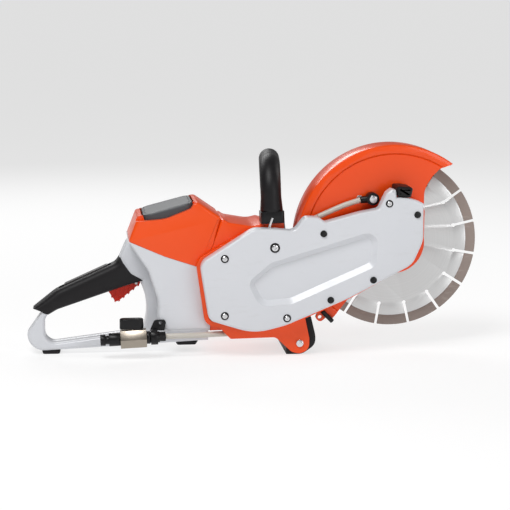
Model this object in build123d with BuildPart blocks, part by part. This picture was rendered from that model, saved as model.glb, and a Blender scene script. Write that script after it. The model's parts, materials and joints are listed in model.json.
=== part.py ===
from build123d import *
from math import asin, atan2, cos, degrees, hypot, radians, sin, tan
import os

# Battery-powered cut-off saw with a 230 mm segmented cutting wheel, belt drive and wet-cutting hose.
# Millimetres. X runs from the rear handle to the wheel, Z is up, and +Y is the operator's left.
# The origin is on the floor, under the middle of the saw.

os.makedirs("parts", exist_ok=True)

# ---------------------------------------------------------------- driving dimensions
WHEEL_X, WHEEL_Z = 185.0, 145.0        # cutting wheel's axis
WHEEL_R = 115.0                        # 230 mm wheel
WHEEL_Y = -26.0                        # wheel's middle plane
CORE_R = 102.0
CORE_T, SEGMENT_T = 1.8, 2.6
SEGMENTS = 16
SLOT_PHASE = 35.2                      # angle of one slot, above +X
SLOT_END_R, SLOT_WIDTH, KEYHOLE_R = 87.0, 3.6, 2.6
WHEEL_BORE_R = 12.7

MOTOR_X, MOTOR_Z = -8.0, 86.0          # motor axis
DRIVE_R, DRIVEN_R, ROLLER_R = 12.0, 20.0, 8.0
RIBS, RIB_PITCH, RIB_DEPTH = 4, 2.34, 1.5
BELT_BACK = 2.0
BELT_GAP = 0.3
BELT_MID = -72.0                       # belt's middle plane
BELT_W = RIBS * RIB_PITCH
PULLEY_W = 13.0

COVER_FACE, COVER_BACK = -88.0, -70.0  # belt cover, near side to its rim
COVER_WALL = 2.6
HEAD_PROUD = 2.0                       # screw heads and plugs stand this far off the cover
CAP_R = 64.5                           # round end of the cover, about the wheel's axis
TRAY_FLOOR, ARM_BACK = -64.5, -61.2    # the arm is a tray, this is its floor
HUB_R, HUB_END = 29.0, -40.0           # boss that the guard turns on
BODY_NEAR, BODY_FAR = -61.0, 44.0      # sides of the housing
BODY_WALL = 2.6
HANDLE_Y = -16.0                       # middle plane of the rear handle, and the housing's split

GUARD_R, GUARD_WALL = 130.0, 3.0
GUARD_FACE, GUARD_FAR = -48.0, 2.0
GUARD_FRONT, GUARD_TAIL = 52.0, 231.0  # ends of the guard, as angles above +X
RIM_R, RIM_PROUD = 118.5, 1.5          # the guard's raised rim
COLLAR_R = 35.0

BATTERY_TILT = 14.5                    # the battery leans back by this
BATTERY_TOP = (-114.6, 194.7)          # middle of its top face
BATTERY_Y = -7.0
BATTERY_T, BATTERY_W, BATTERY_L = 68.0, 88.0, 132.5
BATTERY_CORNER = 12.0
CAP_H = 18.0
WELL_RIM, MOUTH_DEPTH = 28.5, 32.5      # the well's rim and the housing's mouth, below the battery's top
WELL_BASE = 12.0                       # the well's floor reaches this far below the battery
WELL_GAP, WELL_WALL = 1.0, 2.0
BLADE_PITCH, BLADES = 12.0, 4

PIPE_X, PIPE_Y, PIPE_Z = -160.0, -70.0, 27.5   # water coupling's axis, at its middle
PIPE_TILT = 2.4
HOSE_R, HOSE_BORE_R = 3.7, 2.4
ELBOW_X, ELBOW_Z = 154.1, 205.1

TUBE_R, TUBE_BORE_R, SLEEVE_R = 11.0, 9.0, 14.0  # front handle
SHAFT_R, SPINDLE_R, BEARING_R = 6.0, 7.5, 16.0
RUNNING_GAP = 0.03


# ---------------------------------------------------------------- helpers
def at_y(y):
    """Side-view workplane at Y = y: local x is X, local y is Z, and extruding goes towards -Y."""
    return Plane.XZ.offset(-y)


def slab(corners, y_low, y_high, mode=Mode.ADD):
    """Prism between two Y planes, from (x, z, corner radius) rows, for use inside a BuildPart."""
    with BuildSketch(at_y(y_high)) as side:
        with BuildLine():
            FilletPolyline(*[(x, z) for x, z, _ in corners], radius=[r for _, _, r in corners], close=True)
        make_face()
    extrude(side.sketch, amount=y_high - y_low, mode=mode)


def discs(places, y_low, y_high, radius, mode=Mode.ADD):
    """Equal cylinders along Y at (x, z) places, for use inside a BuildPart."""
    with BuildSketch(at_y(y_high)) as ends:
        with Locations(*places):
            Circle(radius)
    extrude(ends.sketch, amount=y_high - y_low, mode=mode)


def polar(radius, angle):
    """(x, z) at a radius and an angle above +X, about the wheel's axis."""
    return (WHEEL_X + radius * cos(radians(angle)), WHEEL_Z + radius * sin(radians(angle)))


def sector(radius, start, end):
    """Corner rows of a pie slice about the wheel's axis, reaching past the radius."""
    steps = [start + (end - start) * i / 6 for i in range(7)]
    return [(WHEEL_X, WHEEL_Z, 0)] + [(*polar(radius * 1.2, angle), 0) for angle in steps]


def side_edges(piece, y_planes, keep):
    """Edges of a piece that lie in one of the given Y planes and whose middle passes keep(x, z)."""
    found = []
    for edge in piece.edges():
        box = edge.bounding_box()
        flat = [y for y in y_planes if abs(box.min.Y - y) < 0.01 and abs(box.max.Y - y) < 0.01]
        if flat and keep(edge.center().X, edge.center().Z):
            found.append(edge)
    return found


def save(piece, name):
    """Labels a finished piece and writes it as one STEP."""
    piece.part.label = name
    export_step(piece.part, f"parts/{name}.step")


# ---------------------------------------------------------------- outlines, seen from the side
# Rows are x, z and corner radius.
COVER = [
    (181.2, 205, 0), (180, 219.5, 1.5), (174.5, 221, 2), (168, 216, 5), (158, 195, 6), (133, 190.5, 30),
    (88, 178.5, 6), (79, 185, 4), (61, 186, 9), (47, 168, 12), (24, 170.5, 20), (-6, 171.5, 20), (-75.5, 127, 16), (-64, 52, 12),
    (-5, 33, 80), (37, 43.5, 60), (120, 78, 300), (203, 121, 26), (217, 152, 40), (216.5, 199.5, 0),
]
ARM = [
    (-80, 129, 18), (-68, 44, 14), (-6, 28, 80), (39, 38.5, 30), (123, 74.5, 300), (205.5, 119, 27),
    (221, 151, 40), (221.5, 194, 5), (158, 193, 6), (132, 188.5, 30), (89, 176.5, 6),
    (60, 174, 9), (46, 165, 12), (24, 168.5, 20), (-6, 169.5, 20),
]
CHEEK = [
    (-55, 45, 0), (-34.5, 23.5, 3), (25, 24.5, 10), (46.5, 4.2, 11), (57, 1.5, 12.5), (69.8, 7, 12.5),
    (69.8, 22, 10), (62, 60, 0), (0, 60, 0),
]
RECESS = [(-5, 99.7, 4), (20, 120.4, 6), (150.3, 159.3, 6), (148.1, 124.8, 6), (42.4, 78.9, 20), (6, 77, 8)]
LOOP = [
    (-160, 152, 0), (-168, 150, 8), (-182, 118.5, 16), (-262, 82.5, 50), (-300, 51, 28),
    (-300, 3.8, 22), (-36, 15.5, 2), (-44, 32, 0), (-100, 36, 0), (-100, 120, 0),
]
LOOP_HOLE = [
    (-152, 98.5, 4), (-262, 61.5, 20), (-277, 50, 16), (-277, 13, 14), (-147, 29, 10), (-139.5, 66, 80),
]
GRIP = [
    (-177, 129, 0), (-183, 120.5, 14), (-262, 85, 50), (-292, 61, 0), (-272, 53, 0),
    (-260, 59.5, 20), (-185, 84.5, 100), (-147, 97, 0), (-163, 106.5, 14), (-173, 121, 14),
]
CORE = [
    (-150, 138, 0), (-178, 117, 14), (-260.5, 80, 46), (-285, 60, 0), (-275, 55.5, 0), (-263, 63, 20),
    (-140, 103, 0),
]
HOUSING = [
    (-167, 152, 5), (-154.5, 184, 4), (-76, 204, 8), (-36, 176.5, 16), (-4, 171, 30), (8, 174, 8),
    (30, 168, 10), (39, 158, 12), (39, 40, 10), (26, 34, 0), (-119, 33, 8), (-130, 48, 20),
    (-128, 72, 40), (-141, 113, 40),
]
WHITE_AREA = [
    (-200, 168, 0), (-120, 133, 0), (-75.5, 118, 0), (-61, 112.5, 0), (-61, 0, 0), (-320, 0, 0),
]
BATTERY_AREA = [
    (-200, 168, 0), (-120, 133, 0), (-75.5, 118, 0), (-61, 112.5, 0), (-61, 137.5, 0),
    (-56, 148, 0), (-45, 179, 0), (-45, 230, 0), (-200, 230, 0),
]
MOTOR_AREA = [
    (-61, 0, 0), (-61, 137.5, 0), (-56, 148, 0), (-45, 179, 0), (-45, 230, 0), (60, 230, 0), (60, 0, 0),
]
NEAR_DIP = [(-170, 178, 0), (-147.5, 179.5, 0), (-118, 182, 40), (-85, 195, 0), (-70, 215, 0), (-180, 215, 0)]

# ---------------------------------------------------------------- battery, its well and its contacts
battery_plane = Plane(
    origin=(BATTERY_TOP[0], BATTERY_Y, BATTERY_TOP[1]),
    x_dir=(cos(radians(BATTERY_TILT)), 0, sin(radians(BATTERY_TILT))),
    z_dir=(-sin(radians(BATTERY_TILT)), 0, cos(radians(BATTERY_TILT))),
)

with BuildPart() as battery_case:
    with BuildSketch(battery_plane.offset(-CAP_H)):
        RectangleRounded(BATTERY_T, BATTERY_W, BATTERY_CORNER)
    extrude(amount=-(BATTERY_L - CAP_H))
    fillet(battery_case.faces().sort_by(Axis.Z)[0].edges(), 4)
    with BuildSketch(battery_plane.offset(-BATTERY_L)):      # guide grooves down both broad sides
        with Locations((0, -BATTERY_W / 2), (0, BATTERY_W / 2)):
            Rectangle(14, 5)
    extrude(amount=BATTERY_L - CAP_H - 12, mode=Mode.SUBTRACT)
    with BuildSketch(battery_plane.offset(-BATTERY_L)):      # slots that the contact blades enter
        with GridLocations(BLADE_PITCH, 0, BLADES, 1):
            Rectangle(3, 20)
    extrude(amount=10, mode=Mode.SUBTRACT)
save(battery_case, "battery_case")

with BuildPart() as battery_cap:
    with BuildSketch(battery_plane):
        RectangleRounded(BATTERY_T, BATTERY_W, BATTERY_CORNER)
    extrude(amount=-CAP_H)
    fillet(battery_cap.faces().sort_by(Axis.Z)[-1].edges(), 5)
    with BuildSketch(battery_plane):                          # finger recess by the far side
        with Locations((0, BATTERY_W / 2 - 16)):
            RectangleRounded(40, 14, 5)
    extrude(amount=-9, mode=Mode.SUBTRACT)
save(battery_cap, "battery_cap")

RELEASE_X, RELEASE_Z, RELEASE_R = -121.0, 150.0, 8.0

with BuildPart() as battery_well:
    with BuildSketch(battery_plane.offset(-BATTERY_L - WELL_BASE)):
        RectangleRounded(
            BATTERY_T + 2 * (WELL_GAP + WELL_WALL),
            BATTERY_W + 2 * (WELL_GAP + WELL_WALL),
            BATTERY_CORNER + WELL_GAP + WELL_WALL,
        )
    extrude(amount=BATTERY_L + WELL_BASE - WELL_RIM)
    with BuildSketch(battery_plane.offset(-BATTERY_L - WELL_GAP)):
        RectangleRounded(BATTERY_T + 2 * WELL_GAP, BATTERY_W + 2 * WELL_GAP, BATTERY_CORNER + WELL_GAP)
    extrude(amount=BATTERY_L, mode=Mode.SUBTRACT)
    with BuildSketch(battery_plane.offset(-BATTERY_L - WELL_BASE)):  # space for the contact block
        Rectangle(BATTERY_T - 10, BATTERY_W - 30)
    extrude(amount=7, mode=Mode.SUBTRACT)
    with BuildSketch(battery_plane.offset(-BATTERY_L - WELL_BASE)):  # windows for the contact blades
        with GridLocations(BLADE_PITCH, 0, BLADES, 1):
            Rectangle(1.6, 16.4)
    extrude(amount=12, mode=Mode.SUBTRACT)
    discs([(RELEASE_X, RELEASE_Z)], 30, 60, RELEASE_R + 0.3, Mode.SUBTRACT)
save(battery_well, "battery_well")

with BuildPart() as contact_block:
    with BuildSketch(battery_plane.offset(-BATTERY_L - 11.5)):
        RectangleRounded(52, 40, 3)
    extrude(amount=6)
    with BuildSketch(battery_plane.offset(-BATTERY_L - 11)):
        with GridLocations(BLADE_PITCH, 0, BLADES, 1):
            Rectangle(1.2, 16)
    extrude(amount=18)
save(contact_block, "contact_block")

# Room that the well takes from the shells round it, and its open mouth.
with BuildPart() as well_room:
    with BuildSketch(battery_plane.offset(-BATTERY_L - WELL_BASE - 1)):
        RectangleRounded(BATTERY_T + 7, BATTERY_W + 6.4, BATTERY_CORNER + 3)
    extrude(amount=BATTERY_L + WELL_BASE + 2 - WELL_RIM)
    with BuildSketch(battery_plane.offset(-MOUTH_DEPTH)):
        RectangleRounded(BATTERY_T + 3, BATTERY_W + 3, BATTERY_CORNER + 1.5)
    extrude(amount=60)

with BuildPart() as release_button:
    discs([(RELEASE_X, RELEASE_Z)], 42, 50, RELEASE_R)
    fillet(release_button.faces().sort_by(Axis.Y)[-1].edges(), 1.5)
save(release_button, "release_button")

# ---------------------------------------------------------------- housing shells and rear handle
GRIP_HALF, LOOP_HALF, CORE_HALF = 18.0, 16.0, 14.5
SLOT_HALF, LOCKOUT_HALF = 8.0, 6.5
TRIGGER_SLOT = [(-203, 55, 0), (-147, 55, 0), (-147, 104, 0), (-155, 112, 0), (-203, 96, 0)]
LOCKOUT_SLOT = [(-256, 75.5, 0), (-190, 106, 0), (-188, 134, 0), (-262, 114, 0)]
SWITCH_ROOM = [(-182, 101, 0), (-162, 107.6, 0), (-162, 120, 0), (-182, 113, 0)]
HINGES = [(-156, 93), (-196, 111)]                             # trigger's pin and lockout's pin
HINGE_R = 2.0

with BuildPart() as housing:
    slab(HOUSING, BODY_NEAR, BODY_FAR)
    rims = side_edges(housing, (BODY_NEAR, BODY_FAR), lambda x, z: x < -60 and z > 60)
    fillet(rims, 5)

with BuildPart() as hollow:
    with BuildSketch(at_y(BODY_FAR - BODY_WALL)) as inside:
        with BuildLine():
            FilletPolyline(*[(x, z) for x, z, _ in HOUSING], radius=[r for _, _, r in HOUSING], close=True)
        make_face()
        offset(amount=-BODY_WALL, kind=Kind.INTERSECTION)
    extrude(amount=BODY_FAR - BODY_NEAR - 2 * BODY_WALL)

with BuildPart() as battery_housing:
    add(housing.part)
    slab(BATTERY_AREA, -100, 100, Mode.INTERSECT)
    add(hollow.part, mode=Mode.SUBTRACT)
    add(well_room.part, mode=Mode.SUBTRACT)
    slab(NEAR_DIP, BODY_NEAR - 1, -46, Mode.SUBTRACT)
    discs([(RELEASE_X, RELEASE_Z)], 38, 60, RELEASE_R + 0.3, Mode.SUBTRACT)

with BuildPart() as rear_housing:
    slab(LOOP, HANDLE_Y - LOOP_HALF, HANDLE_Y + LOOP_HALF)
    slab(LOOP_HOLE, HANDLE_Y - 30, HANDLE_Y + 30, Mode.SUBTRACT)
    rims = side_edges(rear_housing, (HANDLE_Y - LOOP_HALF, HANDLE_Y + LOOP_HALF), lambda x, z: x < -141)
    fillet(rims, 4.5)
    slab(GRIP, HANDLE_Y - 30, HANDLE_Y + 30, Mode.SUBTRACT)
    slab(CORE, HANDLE_Y - CORE_HALF, HANDLE_Y + CORE_HALF)
    add(housing.part)
    slab(WHITE_AREA, -100, 100, Mode.INTERSECT)
    add(hollow.part, mode=Mode.SUBTRACT)
    add(well_room.part, mode=Mode.SUBTRACT)
    slab(TRIGGER_SLOT, HANDLE_Y - SLOT_HALF, HANDLE_Y + SLOT_HALF, Mode.SUBTRACT)
    slab(LOCKOUT_SLOT, HANDLE_Y - LOCKOUT_HALF, HANDLE_Y + LOCKOUT_HALF, Mode.SUBTRACT)
    slab(SWITCH_ROOM, HANDLE_Y - SLOT_HALF, HANDLE_Y + SLOT_HALF, Mode.SUBTRACT)
    discs(HINGES, HANDLE_Y - 12, HANDLE_Y + 12, HINGE_R, Mode.SUBTRACT)
save(battery_housing, "battery_housing")

with BuildPart() as rear_housing_right:
    add(rear_housing.part)
    split(bisect_by=at_y(HANDLE_Y), keep=Keep.TOP)
save(rear_housing_right, "rear_housing_right")

with BuildPart() as rear_housing_left:
    add(rear_housing.part)
    split(bisect_by=at_y(HANDLE_Y), keep=Keep.BOTTOM)
save(rear_housing_left, "rear_housing_left")

with BuildPart() as grip_sleeve:
    slab(GRIP, HANDLE_Y - GRIP_HALF, HANDLE_Y + GRIP_HALF)
    rims = side_edges(
        grip_sleeve, (HANDLE_Y - GRIP_HALF, HANDLE_Y + GRIP_HALF),
        lambda x, z: -290 < x < -186 or (x < -150 and z < 94),
    )
    fillet(rims, 5)
    slab(CORE, HANDLE_Y - CORE_HALF, HANDLE_Y + CORE_HALF, Mode.SUBTRACT)
    slab(TRIGGER_SLOT, HANDLE_Y - SLOT_HALF - 1, HANDLE_Y + SLOT_HALF + 1, Mode.SUBTRACT)
    slab(LOCKOUT_SLOT, HANDLE_Y - LOCKOUT_HALF - 1, HANDLE_Y + LOCKOUT_HALF + 1, Mode.SUBTRACT)
    discs(HINGES, HANDLE_Y - 12, HANDLE_Y + 12, HINGE_R, Mode.SUBTRACT)
save(grip_sleeve, "grip_sleeve")

REAR_FOOT = [(-280, 0, 3), (-258, 0, 3), (-256, 9, 0), (-282, 9, 0)]
MIDDLE_FOOT = [(-102, 8.5, 3), (-78, 8.5, 3), (-72, 18, 0), (-108, 18, 0)]
FOOT_HALF = 13.5
with BuildPart() as rubber_feet:
    slab(REAR_FOOT, HANDLE_Y - FOOT_HALF, HANDLE_Y + FOOT_HALF)
    slab(MIDDLE_FOOT, HANDLE_Y - FOOT_HALF, HANDLE_Y + FOOT_HALF)
    slab(LOOP, HANDLE_Y - LOOP_HALF, HANDLE_Y + LOOP_HALF, Mode.SUBTRACT)
save(rubber_feet, "rubber_feet")

# ---------------------------------------------------------------- trigger, lockout and switch
TRIGGER = [
    (-196, 84.5, 3), (-183.5, 65.5, 4), (-177, 69, 5), (-149.5, 91, 3), (-149.5, 99, 4), (-163, 101, 4), (-196, 90, 2),
]
LOCKOUT = [(-192, 108.5, 0), (-191, 118.8, 3), (-250, 92.6, 4), (-253, 85.2, 2), (-203, 107.5, 0)]
SWITCH = [(-181.6, 103.5, 1), (-162.4, 110, 1), (-162.4, 119, 1), (-181.6, 112, 1)]
TRIGGER_HALF, LOCKOUT_WIDTH = 7.6, 6.0
RIDGES = 4

with BuildPart() as trigger:
    slab(TRIGGER, HANDLE_Y - TRIGGER_HALF, HANDLE_Y + TRIGGER_HALF)
    for i in range(RIDGES):                                    # grooves across the finger face
        with BuildSketch(at_y(HANDLE_Y + TRIGGER_HALF)) as groove:
            with Locations((-196.5 + 3.3 * (i + 0.8), 85.5 - 5.0 * (i + 0.8))):
                Circle(0.9)
        extrude(groove.sketch, amount=2 * TRIGGER_HALF, mode=Mode.SUBTRACT)
    discs([HINGES[0]], HANDLE_Y - 10, HANDLE_Y + 10, HINGE_R + RUNNING_GAP, Mode.SUBTRACT)
save(trigger, "trigger")

with BuildPart() as lockout_lever:
    slab(LOCKOUT, HANDLE_Y - LOCKOUT_WIDTH, HANDLE_Y + LOCKOUT_WIDTH)
    discs([HINGES[1]], HANDLE_Y - 10, HANDLE_Y + 10, HINGE_R + RUNNING_GAP, Mode.SUBTRACT)
save(lockout_lever, "lockout_lever")

with BuildPart() as handle_pins:
    discs(HINGES, HANDLE_Y - 12, HANDLE_Y + 12, HINGE_R)
save(handle_pins, "handle_pins")

with BuildPart() as switch:
    slab(SWITCH, HANDLE_Y - 6.5, HANDLE_Y + 6.5)
save(switch, "switch")

# ---------------------------------------------------------------- front housing and motor
BEARING_W = 10.0
FRONT_BEARING = -60.0                                          # near face of the motor's front bearing
CASE_R, CASE_WALL, CASE_NEAR, CASE_FAR = 38.0, 3.0, -50.0, 14.0
STATOR_NEAR, STATOR_FAR, STATOR_BORE = -46.0, -6.0, 21.0
MOTOR = [(MOTOR_X, MOTOR_Z)]
SOCKET_X, SOCKET_Z = 47.0, 112.0                               # far end of the front handle
VENT_R = 33.0
PAD_NEAR, PAD_FAR = -62.6, 40.0                                # sides of the rubber skid pad
PIVOT = (57.0, 15.8)                                           # pin through both cheeks and the pad
PIN_R = 4.0
FAR_CHEEK = CHEEK[1:7] + [(60, 46, 4), (-34, 46, 0)]
SADDLE = [(5, 168, 0), (5, 175.4, 2), (37, 175.4, 2), (37, 158, 0)]  # raised pad under the front handle

with BuildPart() as front_housing:
    add(housing.part)
    slab(MOTOR_AREA, -100, 100, Mode.INTERSECT)
    add(hollow.part, mode=Mode.SUBTRACT)
    discs(MOTOR, BODY_NEAR + 1, CASE_NEAR, BEARING_R + 4)
    discs(MOTOR, FRONT_BEARING, CASE_NEAR, BEARING_R, Mode.SUBTRACT)
    discs(MOTOR, BODY_NEAR, FRONT_BEARING, BEARING_R - 3, Mode.SUBTRACT)
    discs(MOTOR, BODY_FAR - BODY_WALL, BODY_FAR, VENT_R - 4, Mode.SUBTRACT)
    slab(SADDLE, BODY_NEAR, BODY_NEAR + 14)
    slab(FAR_CHEEK, PAD_FAR, PAD_FAR + 5)
    discs([PIVOT], PAD_FAR, PAD_FAR + 5, PIN_R, Mode.SUBTRACT)
    add(hollow.part, mode=Mode.SUBTRACT)
save(front_housing, "front_housing")

with BuildPart() as motor_case:
    discs(MOTOR, CASE_NEAR, CASE_FAR, CASE_R)
    discs(MOTOR, CASE_NEAR + CASE_WALL, CASE_FAR - CASE_WALL, CASE_R - CASE_WALL, Mode.SUBTRACT)
    discs(MOTOR, CASE_NEAR, CASE_NEAR + CASE_WALL, BEARING_R - 3, Mode.SUBTRACT)
    discs(MOTOR, CASE_FAR - CASE_WALL, CASE_FAR + 9, BEARING_R + 3)
    discs(MOTOR, CASE_FAR - CASE_WALL, CASE_FAR + 9, BEARING_R, Mode.SUBTRACT)
    with BuildSketch(at_y(CASE_FAR)):                          # cooling holes round the rear bearing
        with Locations(*MOTOR):
            with PolarLocations(26.5, 10):
                Circle(4.5)
    extrude(amount=CASE_WALL, mode=Mode.SUBTRACT)
save(motor_case, "motor_case")

with BuildPart() as motor_stator:
    discs(MOTOR, STATOR_NEAR, STATOR_FAR, CASE_R - CASE_WALL)
    with BuildSketch(at_y(STATOR_FAR)):
        with Locations(*MOTOR):
            Circle(STATOR_BORE)
            with PolarLocations(26.5, 12):
                RectangleRounded(8, 6, 2)
    extrude(amount=STATOR_FAR - STATOR_NEAR, mode=Mode.SUBTRACT)
save(motor_stator, "motor_stator")

with BuildPart() as motor_rotor:
    discs(MOTOR, STATOR_NEAR, STATOR_FAR, STATOR_BORE - 0.6)
    discs(MOTOR, STATOR_NEAR, STATOR_FAR, SHAFT_R, Mode.SUBTRACT)
save(motor_rotor, "motor_rotor")

with BuildPart() as motor_shaft:
    discs(MOTOR, BELT_MID - PULLEY_W / 2, CASE_FAR + 8.5, SHAFT_R)
save(motor_shaft, "motor_shaft")

with BuildPart() as motor_bearings:
    for bearing_near in (FRONT_BEARING, CASE_FAR - CASE_WALL):
        discs(MOTOR, bearing_near, bearing_near + BEARING_W, BEARING_R)
    discs(MOTOR, -100, 100, SHAFT_R + RUNNING_GAP, Mode.SUBTRACT)
save(motor_bearings, "motor_bearings")

with BuildPart() as cooling_fan:
    discs(MOTOR, -4, 8, 11)
    discs(MOTOR, -4, -3, 33)
    with BuildSketch(at_y(6)):
        with Locations(*MOTOR):
            with PolarLocations(21, 11):
                Rectangle(22, 1.6, rotation=25)
    extrude(amount=9.5)
    discs(MOTOR, -4, 8, SHAFT_R, Mode.SUBTRACT)
save(cooling_fan, "cooling_fan")

with BuildPart() as controller:
    slab([(-44, 134, 2), (26, 134, 2), (26, 157, 2), (-44, 157, 2)], -40, 26)
    with BuildSketch(Plane.XY.offset(157)):                    # cooling fins
        with Locations((-9, -7)):
            with GridLocations(6, 0, 11, 1):
                Rectangle(2, 60)
    extrude(amount=7)
save(controller, "controller")

with BuildPart() as vent_cover:
    discs(MOTOR, BODY_FAR, BODY_FAR + 5, VENT_R)
    fillet(vent_cover.faces().sort_by(Axis.Y)[-1].edges(), 3)
    with BuildSketch(at_y(BODY_FAR + 5)):                      # air slots
        with Locations(*MOTOR):
            with GridLocations(0, 8, 1, 5):
                SlotOverall(44, 4)
    extrude(amount=5, mode=Mode.SUBTRACT)
save(vent_cover, "vent_cover")

# ---------------------------------------------------------------- belt cover and arm
SMALL_SCREWS = [(-43.4, 133), (-43.6, 58), (37.8, 53.4), (171.2, 202)]
LARGE_SCREW = (21.8, 146.4)
PLUGS = [(85.3, 163.8), (95.1, 76.3), (151.3, 101.8), (208.5, 187)]
SCREW_R, HEAD_R, LARGE_HEAD_R, POST_R = 2.5, 4.5, 5.5, 5.5
WHEEL = [(WHEEL_X, WHEEL_Z)]
RECESS_FLOOR = COVER_FACE + 6

with BuildPart() as cover_block:
    slab(COVER, COVER_FACE, COVER_BACK)
    with BuildSketch(at_y(COVER_BACK)) as cap:
        with Locations(*WHEEL):
            Circle(CAP_R)
        with BuildLine():
            Polyline((217, 190), (217, 230), (176, 230), (160, 190), close=True)
        make_face(mode=Mode.INTERSECT)
    extrude(cap.sketch, amount=COVER_BACK - COVER_FACE)
    rims = side_edges(cover_block, (COVER_FACE,), lambda x, z: True)
    fillet(rims, 3)

with BuildPart() as cover_room:
    with BuildSketch(at_y(COVER_BACK)) as inside:
        with BuildLine():
            FilletPolyline(*[(x, z) for x, z, _ in COVER], radius=[r for _, _, r in COVER], close=True)
        make_face()
        offset(amount=-COVER_WALL, kind=Kind.INTERSECTION)
    extrude(amount=COVER_BACK - COVER_FACE - COVER_WALL)
    with BuildSketch(at_y(COVER_BACK)) as cap_inside:
        with Locations(*WHEEL):
            Circle(CAP_R - COVER_WALL)
        with BuildLine():
            Polyline((213, 190), (213, 206), (182, 206), (174, 190), close=True)
        make_face(mode=Mode.INTERSECT)
    extrude(cap_inside.sketch, amount=COVER_BACK - COVER_FACE - COVER_WALL)
    with BuildSketch(at_y(RECESS_FLOOR + COVER_WALL)) as recess:
        with BuildLine():
            FilletPolyline(*[(x, z) for x, z, _ in RECESS], radius=[r for _, _, r in RECESS], close=True)
        make_face()
    extrude(recess.sketch, amount=9, taper=-45, mode=Mode.SUBTRACT)
    discs(SMALL_SCREWS + [LARGE_SCREW], COVER_FACE, COVER_BACK, POST_R, Mode.SUBTRACT)
    discs(PLUGS, COVER_FACE, COVER_FACE + 6, POST_R + 1, Mode.SUBTRACT)

with BuildPart() as belt_cover:
    add(cover_block.part)
    add(cover_room.part, mode=Mode.SUBTRACT)
    with BuildSketch(at_y(RECESS_FLOOR)) as recess:
        with BuildLine():
            FilletPolyline(*[(x, z) for x, z, _ in RECESS], radius=[r for _, _, r in RECESS], close=True)
        make_face()
    extrude(recess.sketch, amount=9, taper=-50, mode=Mode.SUBTRACT)
    discs(SMALL_SCREWS + [LARGE_SCREW], COVER_FACE, COVER_BACK, SCREW_R, Mode.SUBTRACT)
    discs(PLUGS, COVER_FACE, COVER_FACE + 3.5, HEAD_R, Mode.SUBTRACT)
save(belt_cover, "belt_cover")

with BuildPart() as cover_screws:
    discs(SMALL_SCREWS, COVER_FACE - HEAD_PROUD, COVER_FACE, HEAD_R)
    discs([LARGE_SCREW], COVER_FACE - HEAD_PROUD, COVER_FACE, LARGE_HEAD_R)
    discs(SMALL_SCREWS + [LARGE_SCREW], COVER_FACE, TRAY_FLOOR, SCREW_R)
save(cover_screws, "cover_screws")

with BuildPart() as cover_plugs:
    discs(PLUGS, COVER_FACE - HEAD_PROUD, COVER_FACE + 3.5, HEAD_R)
save(cover_plugs, "cover_plugs")

with BuildPart() as arm_housing:
    slab(ARM, COVER_BACK, ARM_BACK)
    with BuildSketch(at_y(TRAY_FLOOR)) as inside:
        with BuildLine():
            FilletPolyline(*[(x, z) for x, z, _ in ARM], radius=[r for _, _, r in ARM], close=True)
        make_face()
        offset(amount=-6, kind=Kind.INTERSECTION)
    extrude(inside.sketch, amount=TRAY_FLOOR - COVER_BACK, mode=Mode.SUBTRACT)
    discs(SMALL_SCREWS[:3] + [LARGE_SCREW], COVER_BACK, TRAY_FLOOR, POST_R)
    with BuildSketch(at_y(COVER_BACK + 3.3)) as cap:           # back plate behind the cover's round end
        with Locations(*WHEEL):
            Circle(CAP_R - 0.5)
        with BuildLine():
            Polyline((220, 180), (220, 230), (176, 230), (156, 180), close=True)
        make_face(mode=Mode.INTERSECT)
    extrude(cap.sketch, amount=3.3)
    slab(CHEEK, COVER_BACK + 1, COVER_BACK + 7)
    slab([(58, 106, 2), (58, 113, 2), (165, 145, 0), (166, 138, 0)], ARM_BACK, -53)  # stiffening rib
    discs(WHEEL, ARM_BACK, HUB_END, HUB_R)
    discs(WHEEL, COVER_BACK, ARM_BACK, BEARING_R - 3, Mode.SUBTRACT)
    discs(WHEEL, ARM_BACK, HUB_END, BEARING_R, Mode.SUBTRACT)
    discs(MOTOR, COVER_BACK, ARM_BACK, BEARING_R - 3, Mode.SUBTRACT)
    discs(SMALL_SCREWS[:3] + [LARGE_SCREW], COVER_BACK, TRAY_FLOOR, SCREW_R, Mode.SUBTRACT)
    discs(SMALL_SCREWS[3:], COVER_BACK - 1, ARM_BACK + 1, SCREW_R, Mode.SUBTRACT)
    discs([PIVOT], COVER_BACK, ARM_BACK, PIN_R, Mode.SUBTRACT)
save(arm_housing, "arm_housing")

# ---------------------------------------------------------------- belt drive
def pulley_profile(x, z, radius):
    """Pulley round a Y axis: a rim with V grooves for the ribs, for use inside a BuildPart."""
    discs([(x, z)], BELT_MID - PULLEY_W / 2, BELT_MID + PULLEY_W / 2, radius)
    for i in range(RIBS):
        groove_y = BELT_MID + RIB_PITCH * (i - (RIBS - 1) / 2)
        with BuildSketch(Plane.XY.offset(z)) as groove:
            with BuildLine():
                Polyline(
                    (x + radius - RIB_DEPTH, groove_y), (x + radius + 1, groove_y - 1.1),
                    (x + radius + 1, groove_y + 1.1), close=True,
                )
            make_face()
        revolve(groove.sketch, axis=Axis((x, 0, z), (0, 1, 0)), mode=Mode.SUBTRACT)


with BuildPart() as drive_pulley:
    pulley_profile(MOTOR_X, MOTOR_Z, DRIVE_R)
    discs(MOTOR, -100, 0, SHAFT_R, Mode.SUBTRACT)
save(drive_pulley, "drive_pulley")

with BuildPart() as driven_pulley:
    pulley_profile(WHEEL_X, WHEEL_Z, DRIVEN_R)
    with BuildSketch(at_y(0)):                                 # lightening holes
        with Locations(*WHEEL):
            with PolarLocations(12.8, 6):
                Circle(2.6)
    extrude(amount=100, mode=Mode.SUBTRACT)
    discs(WHEEL, -100, 0, SPINDLE_R, Mode.SUBTRACT)
save(driven_pulley, "driven_pulley")

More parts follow.
